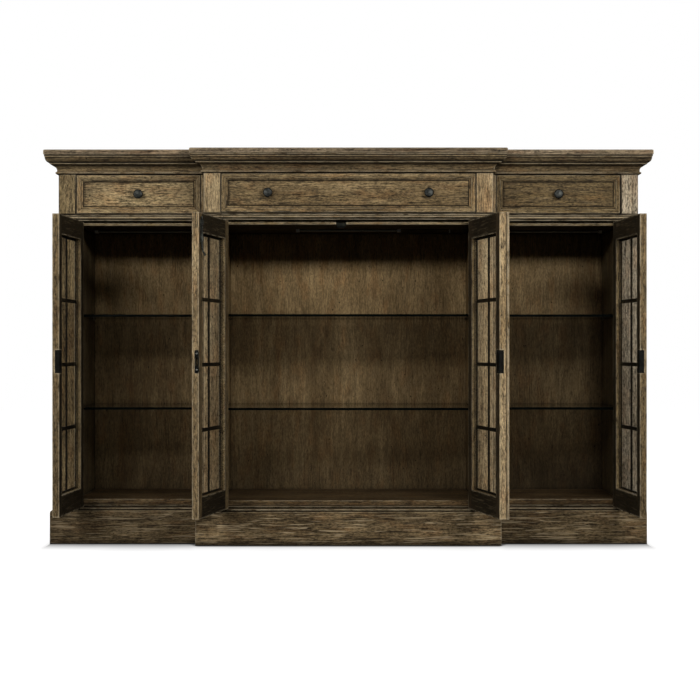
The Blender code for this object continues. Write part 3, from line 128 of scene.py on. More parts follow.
class Nodes:
    """Short ways to add and join the nodes of one tree."""

    def __init__(self, tree):
        self.tree = tree

    def add(self, kind, inputs=None, **settings):
        node = self.tree.nodes.new("ShaderNode" + kind)
        for key, value in settings.items():
            setattr(node, key, value)
        self.feed(node, inputs or {})
        return node

    def feed(self, node, inputs):
        for key, value in inputs.items():
            if isinstance(value, bpy.types.NodeSocket):
                self.tree.links.new(value, node.inputs[key])
            else:
                node.inputs[key].default_value = value

    def calc(self, operation, a, b=0.0, c=0.0, clamp=False):
        return self.add("Math", {0: a, 1: b, 2: c}, operation=operation, use_clamp=clamp).outputs[0]

    plus = partialmethod(calc, "ADD")
    minus = partialmethod(calc, "SUBTRACT")
    times = partialmethod(calc, "MULTIPLY")
    times_plus = partialmethod(calc, "MULTIPLY_ADD")
    most = partialmethod(calc, "MAXIMUM")
    least = partialmethod(calc, "MINIMUM")
    above = partialmethod(calc, "GREATER_THAN")
    below = partialmethod(calc, "LESS_THAN")
    size = partialmethod(calc, "ABSOLUTE")

    def span(self, value, low, high, to_low=0.0, to_high=1.0):
        """Maps low..high to to_low..to_high, with soft ends."""
        return self.add("MapRange", {0: value, 1: low, 2: high, 3: to_low, 4: to_high},
                        interpolation_type="SMOOTHSTEP").outputs[0]

    def mix(self, factor, a, b):
        return self.add("Mix", {0: factor, 6: a, 7: b}, data_type="RGBA").outputs[2]

    def pick(self, factor, a, b):
        """Vector a where factor is 0 and b where it is 1."""
        return self.add("Mix", {0: factor, 4: a, 5: b}, data_type="VECTOR").outputs[1]

    def level(self, factor, a, b):
        return self.add("Mix", {0: factor, 2: a, 3: b}, data_type="FLOAT").outputs[0]

    def stretch(self, vector, scale, shift=(0, 0, 0)):
        return self.add("Mapping", {"Vector": vector, "Scale": scale, "Location": shift}).outputs[0]

    def vector(self, operation, inputs):
        return self.add("VectorMath", inputs, operation=operation).outputs[0]

    def noise(self, vector, scale, detail=2.0, rough=0.5, shift=0.0, twist=0.0):
        place = self.stretch(vector, scale, (shift, shift * 0.7, shift * 1.3))
        return self.add("TexNoise", {"Vector": place, "Scale": 1.0, "Detail": detail, "Roughness": rough,
                                     "Distortion": twist}).outputs[0]

    def split(self, vector):
        node = self.add("SeparateXYZ", {0: vector})
        return node.outputs[0], node.outputs[1], node.outputs[2]

    def join(self, x, y, z):
        return self.add("CombineXYZ", {0: x, 1: y, 2: z}).outputs[0]

    def openness(self, reach, samples=6, inside=False):
        """1 in the open, and less where a surface is near; with inside, less near the piece's own edges."""
        return self.add("AmbientOcclusion", {"Distance": reach}, samples=samples, only_local=inside,
                        inside=inside).outputs["AO"]

    def bump(self, height, strength, distance):
        return self.add("Bump", {"Height": height, "Strength": strength, "Distance": distance}).outputs[0]


# Plain words for the inputs of the shader.
SHADER_INPUTS = {"colour": "Base Color", "rough": "Roughness", "normal": "Normal", "metal": "Metallic",
                 "shine": "Specular IOR Level", "alpha": "Alpha", "light": "Emission Color",
                 "glow": "Emission Strength"}


class Skin(Nodes):
    """The nodes of a new material, with the place and the normal in the cabinet's own frame."""

    def __init__(self, name):
        self.material = bpy.data.materials.new(name)
        self.material.use_nodes = True
        super().__init__(self.material.node_tree)
        self.tree.nodes.clear()
        self.shader = self.add("BsdfPrincipled")
        self.add("OutputMaterial", {"Surface": self.shader.outputs[0]})
        where = self.add("TexCoord").outputs
        self.place = where["Object"]
        self.normal = where["Normal"]

    def finish(self, **inputs):
        """Sets the shader, with the words of SHADER_INPUTS, and gives the material."""
        self.feed(self.shader, {SHADER_INPUTS[word]: value for word, value in inputs.items()})
        return self.material


# The sockets of the oak group.
OAK_INPUTS = {"Grain": "Vector", "Pale": "Color", "Deep": "Color", "Ash": "Color", "Figure": "Float",
              "SoilAndShade": "Float", "WearAndHighlight": "Float", "Chop": "Float", "Bold": "Float"}
OAK_OUTPUTS = {"Color": "Color", "Roughness": "Float", "Height": "Float"}


def oak_group():
    """Glazed oak from a grain vector in metres, with the grain along its x."""
    tree = bpy.data.node_groups.new("oak_finish", "ShaderNodeTree")
    for way, sockets in (("INPUT", OAK_INPUTS), ("OUTPUT", OAK_OUTPUTS)):
        for name, kind in sockets.items():
            tree.interface.new_socket(name, in_out=way, socket_type="NodeSocket" + kind)
    n = Nodes(tree)
    entry = tree.nodes.new("NodeGroupInput").outputs
    straight = entry["Grain"]
    bold = entry["Bold"]
    bend = n.times(n.minus(n.noise(straight, (1.3, 5, 5), 2.0), 0.5), 0.05)
    grain = n.vector("ADD", {0: straight, 1: n.join(0.0, bend, bend)})

    def streaks(along, across, detail, rough, shift, low, high, twist=0.0):
        """Noise stretched along the grain, 0 up to low and 1 from high on."""
        return n.span(n.noise(grain, (along, across, across), detail, rough, shift, twist), low, high)

    patch = streaks(2.4, 10, 4.0, 0.6, 0.0, 0.25, 0.75)
    band = streaks(1.8, 26, 3.0, 0.6, 11.0, 0.42, 0.66)
    mottle = streaks(24, 60, 3.0, 0.7, 13.0, 0.3, 0.7)
    streak = streaks(16, 190, 3.0, 0.7, 3.0, 0.3, 0.7)
    crumb = streaks(90, 230, 2.0, 0.7, 17.0, 0.3, 0.7)
    pores = streaks(55, 850, 2.0, 0.6, 31.0, 0.55, 0.65)
    ticks = streaks(38, 260, 2.0, 0.6, 37.0, 0.58, 0.66)
    cracks = streaks(11, 210, 2.0, 0.6, 41.0, 0.61, 0.66)
    smudge = streaks(10, 44, 4.0, 0.75, 57.0, 0.56, 0.74)
    chop = n.times(streaks(8, 230, 3.0, 0.7, 61.0, 0.56, 0.62), entry["Chop"])
    glint = n.times(streaks(8, 230, 2.0, 0.6, 67.0, 0.58, 0.63, 0.3), entry["Chop"])
    fine = n.noise(grain, (45, 1000, 1000), 3.0, 0.6, 5.0)
    rings = n.calc("SINE", n.times(n.noise(grain, (0.55, 5.2, 5.2), 1.0, 0.4, 21.0), 110.0))
    figure = n.times(n.times_plus(rings, 0.5, 0.5), entry["Figure"])
    cells = n.add("TexVoronoi", {"Vector": n.stretch(straight, (38, 62, 62)), "Scale": 1.0}).outputs
    hole_size = n.span(n.split(cells["Color"])[0], 0.6, 1.0, 0.0, 0.13)
    worm = n.below(cells["Distance"], hole_size)

    colour = n.mix(patch, entry["Deep"], entry["Pale"])
    colour = n.mix(n.times(band, 0.22), colour, entry["Ash"])
    stain = n.span(n.noise(straight, (9, 26, 26), 3.0, 0.6, 83.0), 0.48, 0.68)
    warm = n.vector("MULTIPLY", {0: colour, 1: (0.92, 0.74, 0.62)})
    colour = n.mix(n.times(stain, 0.6), colour, warm)
    colour = n.mix(figure, colour, entry["Deep"])
    ripple = n.times(n.minus(streak, 0.45), 0.85)
    ripple = n.times_plus(n.minus(mottle, 0.45), 0.25, ripple)
    ripple = n.times_plus(n.minus(crumb, 0.45), 1.1, ripple)
    gain = n.times(n.times_plus(ripple, bold, 1.0), n.span(fine, 0.3, 0.7, 0.82, 1.18))
    colour = n.vector("SCALE", {0: colour, "Scale": gain})
    marks = ((smudge, n.times(bold, 0.32)), (pores, 0.35), (ticks, n.times(bold, 0.55)),
             (cracks, n.times(bold, 0.75)), (worm, 0.85), (chop, 0.75))
    for mark, strength in marks:
        colour = n.mix(n.times(mark, strength), colour, PORE)
    colour = n.mix(n.times(glint, 0.7), colour, GLINT)

    # Soil and painted shade: darker in crevices, hollows and between parts.
    nook = n.span(n.openness(0.008), 0.45, 0.9, 1.0, 0.0)
    hollow = n.span(n.openness(0.03), 0.3, 0.9, 0.65, 0.0)
    soil = n.times(n.most(nook, hollow), entry["SoilAndShade"])
    # Wear and painted highlight: paler along the piece's own edges and ridges.
    ridge = n.span(n.openness(0.007, inside=True), 0.55, 0.85, 1.0, 0.0)
    wear = n.times(n.times(ridge, streaks(24, 70, 3.0, 0.7, 71.0, 0.36, 0.56)), entry["WearAndHighlight"])
    colour = n.mix(soil, colour, SOIL_AND_SHADE)
    colour = n.mix(wear, colour, WEAR_AND_HIGHLIGHT)
    rough = n.level(wear, n.level(streak, 0.6, 0.76), 0.55)
    rough = n.level(soil, rough, 0.9)
    height = n.times_plus(streak, 0.5, n.times(fine, 0.2))
    for mark, depth in ((pores, 0.3), (cracks, 0.6), (worm, 1.2), (chop, 0.8)):
        height = n.minus(height, n.times(mark, depth))
    n.feed(tree.nodes.new("NodeGroupOutput"), {"Color": colour, "Roughness": rough, "Height": height})
    return tree


OAK = oak_group()


def finish_oak(n, grain, pale, deep, ash, figure=0.25, soil=0.9, wear=0.6, chop=0.15, bold=1.0, seam=None,
               glaze_and_shade=None, shine=None):
    """Oak all over; seam masks joint lines, the glaze mask a dark wash of glaze and painted shade, and shine
    painted highlights on crests.
    """
    values = (grain, pale, deep, ash, figure, soil, wear, chop, bold)
    oak = n.add("Group", dict(zip(OAK_INPUTS, values)), node_tree=OAK).outputs
    colour = oak["Color"]
    height = oak["Height"]
    if glaze_and_shade is not None:
        colour = n.mix(glaze_and_shade, colour, GLAZE_AND_SHADE)
    if shine is not None:
        colour = n.mix(shine, colour, CREST_HIGHLIGHT)
    if seam is not None:
        colour = n.mix(n.times(seam, 0.85), colour, JOINT)
        height = n.minus(height, seam)
    return n.finish(colour=colour, rough=oak["Roughness"], normal=n.bump(height, 0.6, 0.0012), shine=0.14)


def run_along(n, axis, shift):
    """The grain vector of wood that runs along x, y or z."""
    x, y, z = n.split(n.place)
    first, second, third = {"x": (x, y, z), "y": (y, x, z), "z": (z, x, y)}[axis]
    return n.join(n.plus(first, shift), second, third)


def is_return(n):
    """1 on faces that look sideways, where a moulding turns to run back along the side."""
    sideways, forward = n.split(n.normal)[:2]
    return n.above(n.size(sideways), n.plus(n.size(forward), 0.01))


# The pale, deep and ash colours of each wood, as screen values.
WOODS = {
    "top": ((154, 136, 110), (100, 85, 65), (114, 101, 84)),
    "cornice": ((148, 128, 93), (96, 79, 53), (108, 94, 73)),
    "rail": ((154, 134, 96), (104, 86, 56), (116, 101, 78)),
    "post": ((164, 144, 104), (104, 86, 56), (120, 105, 83)),
    "bright_post": ((192, 170, 130), (130, 109, 76), (148, 132, 107)),
    "pale_post": ((224, 210, 182), (168, 152, 124), (184, 171, 150)),
    "right_post": ((210, 187, 146), (148, 125, 89), (166, 148, 120)),
    "drawer_left": ((178, 157, 116), (122, 103, 72), (134, 119, 95)),
    "drawer_centre": ((160, 138, 99), (106, 88, 59), (120, 104, 79)),
    "drawer_right": ((144, 124, 87), (92, 76, 49), (104, 89, 66)),
    "plinth": ((150, 129, 94), (82, 67, 44), (104, 89, 67)),
    "inside": ((158, 134, 92), (100, 82, 52), (114, 96, 66)),
    "back": ((182, 155, 110), (126, 103, 68), (138, 118, 84)),
    "floor": ((112, 92, 62), (72, 56, 34), (80, 66, 44)),
    "door": ((158, 138, 99), (98, 80, 51), (114, 99, 77)),
    # The doors' edges and inner faces: lit and shaded copies of their oak, painted light and painted shade.
    "door_edge": ((136, 117, 84), (86, 70, 45), (98, 84, 64)),
    "left_door_edge": ((166, 145, 109), (110, 91, 62), (125, 108, 85)),
    "right_door_edge": ((196, 172, 132), (134, 112, 78), (150, 131, 104)),
    "door_inside": ((53, 45, 30), (34, 28, 18), (40, 34, 23)),
    "left_door_inside": ((136, 117, 84), (94, 78, 52), (105, 90, 68)),
    "right_door_inside": ((76, 63, 44), (50, 41, 28), (58, 49, 36)),
    "lining": ((186, 160, 116), (150, 122, 80), (158, 136, 100)),
}
TONES = {name: [srgb(*colour) for colour in wood] for name, wood in WOODS.items()}


def lines(n, value, marks, start=0.0):
    """The strongest of some soft lines, each a (place, half width, strength) along value."""
    for place, half, strength in marks:
        away = n.size(n.minus(value, place))
        start = n.most(start, n.times(n.span(away, 0.4 * half, half, 1.0, 0.0), strength))
    return start


def patchy(n, scale, low, shift=0.0):
    """An uneven factor from low to 1 that breaks a line up."""
    return n.span(n.noise(n.place, scale, 4.0, 0.7, shift), 0.36, 0.6, low, 1.0)


def moulding_oak(name, tone, shift, under=0.0, quirks=(), crests=(), lift=0.0, left=0.0, middle=0.0,
                 right=0.0, **finish):
    """Oak that runs along the front and turns back along the sides.

    under paints shade on what looks down, and left, middle and right paint shade on the three bays; quirks
    are dark lines of glaze and painted shade and crests lines of painted highlight at set heights, and in the
    cornice's crown they are lift higher on the wings."""
    n = Skin(name)
    x, z = n.split(n.place)[::2]
    glaze_and_shade = 0.0
    if lift:
        on_wing = n.above(n.size(x), WING_START)
        z = n.minus(z, n.times(n.times(on_wing, n.above(z, CROWN_BOTTOM)), lift))
    # Painted shade on what looks down.
    if under:
        down = n.times(n.split(n.normal)[2], -1.0)
        glaze_and_shade = n.times(n.span(down, 0.1, 0.75), under)
    if quirks:
        glaze_and_shade = n.times(lines(n, z, quirks, glaze_and_shade), patchy(n, (9, 9, 60), 0.8, shift))
        # Painted shade over whole bays.
        if left or middle or right:
            left_bay = n.span(x, -STEP_END, -STEP_START, left, 0.0)
            right_bay = n.span(x, STEP_START, STEP_END, 0.0, right)
            centre_bay = n.span(n.size(x), STEP_START, STEP_END, middle, 0.0)
            glaze_and_shade = n.most(glaze_and_shade, n.most(n.most(left_bay, right_bay), centre_bay))
    if under or quirks:
        finish["glaze_and_shade"] = glaze_and_shade
    # Painted highlights along the crests, broken up unevenly and kept off the faces that look up.
    if crests:
        crest_highlights = n.times(lines(n, z, crests), patchy(n, (30, 30, 90), 0.1, shift + 2.0))
        upward = n.split(n.normal)[2]
        finish["shine"] = n.times(crest_highlights, n.span(upward, 0.75, 0.95, 1.0, 0.0))
    grain = n.pick(is_return(n), run_along(n, "x", shift), run_along(n, "y", shift + 3.0))
    return finish_oak(n, grain, *TONES[tone], **finish)


def upright_oak(name, tone, shift, uprights=(), levels=(), fade=None, low=0.0, right=0.0, skirt=0.0,
                **finish):
    """Oak whose grain runs straight up, with dark lines of painted shade at set distances from the middle and
    at set heights.

    fade is a (low, high, strength) over which painted shade darkens the wood downwards; low paints the shadow
    below the upper shelves, right paints shade in the right bay and skirt paints shade below the waist."""
    n = Skin(name)
    x, y, z = n.split(n.place)
    glaze_and_shade = 0.0
    if uprights:
        glaze_and_shade = lines(n, n.size(x), uprights)
        glaze_and_shade = n.times(lines(n, z, levels, glaze_and_shade), patchy(n, (60, 60, 12), 0.6, shift))
    # Painted shade, darker towards the bottom.
    if fade:
        glaze_and_shade = n.most(glaze_and_shade, n.span(z, *fade, 0.0))
    # Painted shadow below the upper shelves.
    if low:
        glaze_and_shade = n.most(glaze_and_shade, n.span(z, *SHELF_SHADE, low, 0.0))
    # Painted shade over the right bay.
    if right:
        whole_bay = n.span(z, 0.7, 0.95, right, 0.75 * right)
        outer_half = n.span(z, 0.3, 0.8, 0.15 * right, 0.9 * right)
        glaze_and_shade = n.times_plus(n.span(x, 0.46, 0.56), whole_bay, glaze_and_shade)
        glaze_and_shade = n.times_plus(n.span(x, 0.64, 0.84), outer_half, glaze_and_shade, clamp=True)
    if skirt:
        glaze_and_shade = n.most(glaze_and_shade, n.span(z, *SKIRT_SHADE, skirt, 0.0))
    if fade:
        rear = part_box("back_panel")[1].y
        glaze_and_shade = n.times(glaze_and_shade, n.below(y, rear - 0.004))
    if uprights or fade:
        finish["glaze_and_shade"] = glaze_and_shade
    return finish_oak(n, run_along(n, "z", shift), *TONES[tone], **finish)


def drawer_front_oak(name, tone, low, high, shift):
    """Oak of a drawer front: a mitred frame around a panel with the grain along it."""
    n = Skin(name)
    x, z = n.split(n.place)[::2]
    from_left = n.minus(x, low)
    from_top = n.minus(DRAWER_HIGH, z)
    from_side = n.least(from_left, n.minus(high, x))
    from_end = n.least(n.minus(z, DRAWER_LOW), from_top)
    nearest = n.least(from_side, from_end)
    reach = DRAWER_FRAME + DRAWER_BEVEL
    in_frame = n.below(nearest, reach)
    in_post = n.times(n.below(from_side, from_end), in_frame)
    from_mitre = n.size(n.minus(from_side, from_end))
    mitre = n.times(n.span(from_mitre, 0.0004, 0.0011, 0.6, 0.0), in_frame)
    past = n.minus(nearest, reach)
    in_panel = n.above(past, 0.0)
    seam = n.most(mitre, n.span(n.size(past), 0.0009, 0.0024, 1.0, 0.0))
    # Darker towards the ends of the panel and near the frame.
    dark_ends = n.times(n.span(from_side, 0.03, 0.1, 0.3, 0.0), in_panel)
    glaze_and_shade = n.most(dark_ends, n.times(n.span(past, 0.0, 0.012, 0.45, 0.0), in_panel))
    at_left = n.below(n.size(n.minus(from_left, nearest)), 0.00001)
    at_top = n.below(n.size(n.minus(from_top, nearest)), 0.00001)
    # Painted shade along the frame's inner edge: a wide shadow under the top, a deeper band on the left and
    # thin lines on the right and at the bottom.
    groove = (DRAWER_FRAME + 0.0004, 0.0018, 0.75)
    bead = lines(n, nearest, (groove, (reach + 0.0004, 0.0026, 0.8)))
    deep = lines(n, nearest, (groove, (reach + 0.004, 0.0058, 0.75)))
    shadow = lines(n, nearest, ((DRAWER_FRAME + 0.0045, 0.0062, 0.72), (reach + 0.0012, 0.0034, 0.9)))
    glaze_and_shade = n.most(glaze_and_shade, n.level(at_top, n.level(at_left, bead, deep), shadow))
    glaze_and_shade = n.times(glaze_and_shade, patchy(n, (25, 25, 60), 0.55, shift))
    # Painted shade in the gap around the drawer, on the front faces.
    outline = n.times(n.below(n.split(n.normal)[1], -0.3), 0.95)
    glaze_and_shade = n.most(glaze_and_shade, n.times(n.span(nearest, 0.0007, 0.0018, 1.0, 0.0), outline))
    # Painted highlight along the frame's inner edge.
    crest_highlight_line = lines(n, nearest, ((DRAWER_FRAME - 0.0016, 0.0014, 0.4),))
    shine = n.times(crest_highlight_line, patchy(n, (40, 40, 40), 0.1, shift + 3.0))
    grain = n.pick(in_frame, run_along(n, "x", shift), run_along(n, "x", shift + 5.0))
    grain = n.pick(in_post, grain, run_along(n, "z", shift + 9.0))
    return finish_oak(n, grain, *TONES[tone], seam=seam, glaze_and_shade=glaze_and_shade, shine=shine, figure=0.18, wear=0.5)


def door_coordinates(n, door):
    """Distance across the door from its hinge axis, through it, and up."""
    turned = n.add("Mapping", {"Vector": n.place, "Location": (door.x, door.y, 0),
                               "Rotation": (0, 0, -door.hand * math.radians(door.degrees))},
                   vector_type="TEXTURE").outputs[0]
    x, y, z = n.split(turned)
    return n.times(x, door.hand), y, z


def door_oak(name, door, shift):
    """Oak of a door frame: two stiles that run up and two rails between them."""
    n = Skin("door_oak_" + name)
    across, through, up = door_coordinates(n, door)
    free_edge = HINGE_EDGE + door.width
    from_joint = n.least(n.minus(across, HINGE_EDGE + STILE_WIDTH), n.minus(free_edge - STILE_WIDTH, across))
    in_rail = n.above(from_joint, 0.0)
    post = n.join(n.plus(up, shift), across, through)
    rail = n.join(n.plus(across, shift + 4.0), up, through)
    inner = n.above(through, INNER_FACE - 0.0006)
    edge = n.above(across, free_edge - 0.001)
    # The inner faces and the free edge take lit and shaded copies of the door oak, each door its own: painted
    # light and painted shade.
    lit = {"centre_left": "left_", "centre_right": "right_"}.get(name, "")
    sources = (TONES["door"], TONES["door_inside"], TONES[lit + "door_inside"], TONES[lit + "door_edge"])
    tones = []
    for face, back, lit_back, end in zip(*sources):
        if lit:
            back = n.mix(in_rail, lit_back, back)
        tones.append(n.mix(edge, n.mix(inner, face, back), end))
    height = n.least(n.minus(up, OPENING_LOW), n.minus(OPENING_HIGH, up))
    in_opening = n.times(n.above(n.least(from_joint, height), -0.0015), n.minus(1.0, inner))
    soil = n.level(in_opening, 0.9, 0.12)
    seam = n.times(n.span(n.size(from_joint), 0.0003, 0.0009, 1.0, 0.0), n.minus(1.0, in_opening))
    # Painted shade in the rebate around the glass, at its inner edge and deep inside it.
    behind = n.minus(through, INNER_FACE)
    shade = n.most(n.span(behind, -0.0105, -0.009, 0.8, 0.0), n.span(behind, -0.003, -0.0008, 0.0, 0.55))
    shade = n.times(n.times(shade, in_opening), n.above(behind, -0.0135))
    return finish_oak(n, n.pick(in_rail, post, rail), *tones, seam=seam, glaze_and_shade=shade, soil=soil)


def side_oak(name, shift):
    """Oak of a side: upright stiles and panels, with rails across between the framed fields."""
    n = Skin(name)
    x, y, z = n.split(n.place)
    reach = FIELD_HALF + FIELD_MARGIN
    between = n.times(n.above(y, -reach), n.below(y, reach))
    in_field = 0.0
    for low, high in FIELD_HEIGHTS:
        in_field = n.plus(in_field, n.times(n.above(z, low - FIELD_MARGIN), n.below(z, high + FIELD_MARGIN)))
    deepest = 0.008
    outside = n.above(n.size(x), CARCASS_HALF - deepest)
    rail = n.times(n.times(between, n.minus(1.0, in_field, clamp=True)), outside)
    grain = n.pick(rail, run_along(n, "z", shift), run_along(n, "y", shift + 2.0))
    # Painted shade on all but the outer faces.
    return finish_oak(n, grain, *TONES["post"], figure=0.3, glaze_and_shade=n.times_plus(outside, -0.6, 0.6))


def iron(name, base, shade, rough, pits, metal=1.0, rim=0.0, worn_edge=0.0, shine=0.5):
    """Blackened iron with a mottled, slightly pitted skin; rim paints shade on what doesn't look to the
    front.
    """
    n = Skin(name)
    cloud = n.span(n.noise(n.place, (90, 90, 90), 4.0, 0.6), 0.35, 0.65)
    pit = n.noise(n.place, (pits, pits, pits), 3.0, 0.6, 7.0)
    colour = n.mix(cloud, srgb(*base), srgb(*shade))
    colour = n.mix(n.span(pit, 0.55, 0.7, 0.0, 0.6), colour, IRON_PIT)
    if worn_edge:
        edge = n.span(n.openness(0.0012, 8, inside=True), 0.55, 0.92, 1.0, 0.0)
        colour = n.mix(n.times(edge, worn_edge), colour, IRON_EDGE)
    if rim:
        front = n.times(n.split(n.normal)[1], -1.0)
        colour = n.mix(n.span(front, 0.75, 0.982, rim, 0.0), colour, RIM_SHADE)
    return n.finish(colour=colour, rough=n.level(cloud, rough, rough + 0.14), metal=metal, shine=shine,
                    normal=n.bump(n.plus(pit, cloud), 0.4, 0.0003))


def black_paint(name):
    """Dark painted wood of the glazing bars, a little rubbed along the edges."""
    n = Skin(name)
    cloud = n.noise(n.place, (40, 40, 12), 4.0, 0.6)
    grain = n.noise(n.place, (600, 600, 20), 3.0, 0.6, 4.0)
    rubbed = n.span(n.openness(0.0015, 8, inside=True), 0.5, 0.8, 0.16, 0.0)
    colour = n.mix(n.span(cloud, 0.35, 0.65), srgb(12, 10, 7), srgb(21, 17, 12))
    colour = n.mix(rubbed, colour, srgb(84, 70, 50))
    return n.finish(colour=colour, rough=n.span(grain, 0.3, 0.7, 0.55, 0.7), shine=0.06,
                    normal=n.bump(grain, 0.25, 0.0003))


def clear_glass(name, tint, body, glare):
    """Thin glass: clear face on, and more of a mirror at a glancing angle."""
    n = Skin(name)
    smear = n.noise(n.place, (9, 9, 9), 3.0, 0.6)
    fresnel = n.add("Fresnel", {"IOR": 1.5}).outputs[0]
    away = n.add("NewGeometry").outputs["Backfacing"]
    front = n.times_plus(fresnel, glare, body, clamp=True)
    return n.finish(colour=n.mix(n.span(smear, 0.3, 0.7), tint, dimmed(tint, 0.8)),
                    rough=n.span(smear, 0.4, 0.8, 0.02, 0.06), alpha=n.level(away, front, body))


def glass_edge(name):
    """The polished edge of a glass shelf: deep bottle green, nearly black."""
    n = Skin(name)
    ripple = n.noise(n.place, (14, 14, 300), 3.0, 0.6)
    return n.finish(colour=n.mix(n.span(ripple, 0.35, 0.65), srgb(3, 6, 5), srgb(8, 13, 11)),
                    rough=n.span(ripple, 0.3, 0.7, 0.08, 0.2), shine=0.15)


def bright_metal(name, shade, metal=1.0):
    """Satin aluminium with fine drawn lines."""
    n = Skin(name)
    drawn = n.noise(n.place, (12, 1500, 1500), 3.0, 0.6)
    return n.finish(colour=n.mix(n.span(drawn, 0.3, 0.7), shade, dimmed(shade, 0.7)), metal=metal,
                    rough=n.span(drawn, 0.3, 0.7, 0.28, 0.42), normal=n.bump(drawn, 0.15, 0.0002))


def diffuser(name):
    """The milky cover of an unlit light bar, with a painted highlight as a bright rim at its top."""
    n = Skin(name)
    dust = n.noise(n.place, (30, 300, 300), 3.0, 0.6)
    colour = n.mix(n.span(dust, 0.3, 0.7), srgb(84, 84, 78), srgb(112, 112, 104))
    # Painted highlight: a bright rim on the front faces.
    rim = n.span(n.split(n.place)[2], 1.0735, 1.0755, 1.0, 0.0)
    front = n.span(n.split(n.normal)[1], -0.9, -0.5, 1.0, 0.0)
    colour = n.mix(n.times(rim, front), colour, srgb(240, 242, 236))
    return n.finish(colour=colour, rough=n.span(dust, 0.3, 0.7, 0.35, 0.5))


# Each iron has two colours between which it is clouded, a roughness, pits per metre and a metallic share.
METALS = {
    "knob": iron("knob_iron", (70, 72, 68), (36, 38, 36), 0.42, 420, 0.7, rim=0.94, worn_edge=0.3, shine=0.4),
    "lock": iron("lock_iron", (25, 25, 22), (16, 16, 14), 0.6, 1100, 0.2, shine=0.1),
    "selvedge": iron("selvedge_iron", (27, 27, 23), (18, 18, 16), 0.6, 1100, 0.1, shine=0.08),
    "dark": iron("dark_iron", (18, 18, 16), (10, 10, 9), 0.7, 700, 0.0, shine=0.05),
    "clip": bright_metal("lead_clip_metal", srgb(188, 188, 182)),
    "bolt": iron("bolt_iron", (84, 85, 76), (26, 26, 23), 0.5, 420, 0.3, worn_edge=0.15, shine=0.15),
    "keeper": iron("keeper_iron", (42, 43, 35), (28, 29, 24), 0.6, 900, 0.1, shine=0.08),
    "hinge": iron("hinge_iron", (96, 88, 72), (62, 56, 44), 0.4, 900, worn_edge=0.2),
    "screw": iron("screw_iron", (52, 53, 48), (34, 34, 32), 0.5, 1500, 0.3, worn_edge=0.1, shine=0.15),
    "steel_screw": iron("steel_screw", (196, 196, 188), (140, 140, 134), 0.35, 1500),
}


def dress(node, *materials):
    """Gives a CAD node its materials."""
    mesh = NODES[node].data
    mesh.materials.clear()
    for material in materials:
        mesh.materials.append(material)


def dress_faces(node, test, first, second):
    """The second material on the faces whose centre and normal pass the test, and the first on the rest."""
    dress(node, first, second)
    for face in NODES[node].data.polygons:
        face.material_index = 1 if test(face.center, face.normal) else 0


# The dark quirk lines of glaze and painted shade and the crest lines of painted highlight on the mouldings,
# each a height, a half width and a strength.
WAIST_QUIRKS = ((1.1162, 0.0038, 0.97), (1.11, 0.0025, 0.9), (1.0998, 0.0037, 0.97), (1.0941, 0.0036, 0.97))
WAIST_CRESTS = ((1.1131, 0.0012, 0.4), (1.1065, 0.0018, 0.55), (1.0966, 0.001, 0.2))
CORNICE_QUIRKS = ((1.3112, 0.003, 0.95), (1.304, 0.003, 0.9), (1.299, 0.009, 0.6), (1.2917, 0.0046, 0.93),
                  (1.2833, 0.0038, 0.95), (1.2775, 0.008, 0.4), (1.2533, 0.004, 0.97))
CORNICE_CRESTS = ((1.3078, 0.0013, 0.35), (1.2871, 0.0015, 0.45), (1.2622, 0.0022, 0.12))
TOP_QUIRKS = ((1.316, 0.0018, 0.3),)
TOP_CRESTS = ((1.333, 0.0035, 0.4), (1.319, 0.0014, 0.3))
PLINTH_QUIRKS = ((0.0, 0.0058, 0.97), (0.0, 0.024, 0.6), (0.1149, 0.0019, 0.85), (0.1085, 0.0014, 0.35))
PLINTH_CRESTS = ((0.1118, 0.0014, 0.4), (0.1192, 0.0022, 0.3))
DECK_QUIRKS = ((1.0805, 0.0019, 0.85),)
FLOOR_QUIRKS = ((0.1225, 0.0016, 0.65), (0.131, 0.0035, 0.45))
FLOOR_CRESTS = ((0.1258, 0.0018, 0.7),)

# Dark lines of painted shade on the stiles, along the gaps and joints beside them: at heights, and at
# distances from the middle on the outer and the inner ones.
STILE_LEVELS = ((1.1195, 0.0022, 0.9), (1.2535, 0.0022, 0.95))
OUTER_UPRIGHTS = ((0.9277, 0.0034, 0.97), (0.984, 0.0022, 0.6), (0.97, 0.013, 0.3))
INNER_UPRIGHTS = ((0.5028, 0.003, 0.97), (0.4925, 0.0017, 0.6), (0.4305, 0.0026, 0.9))


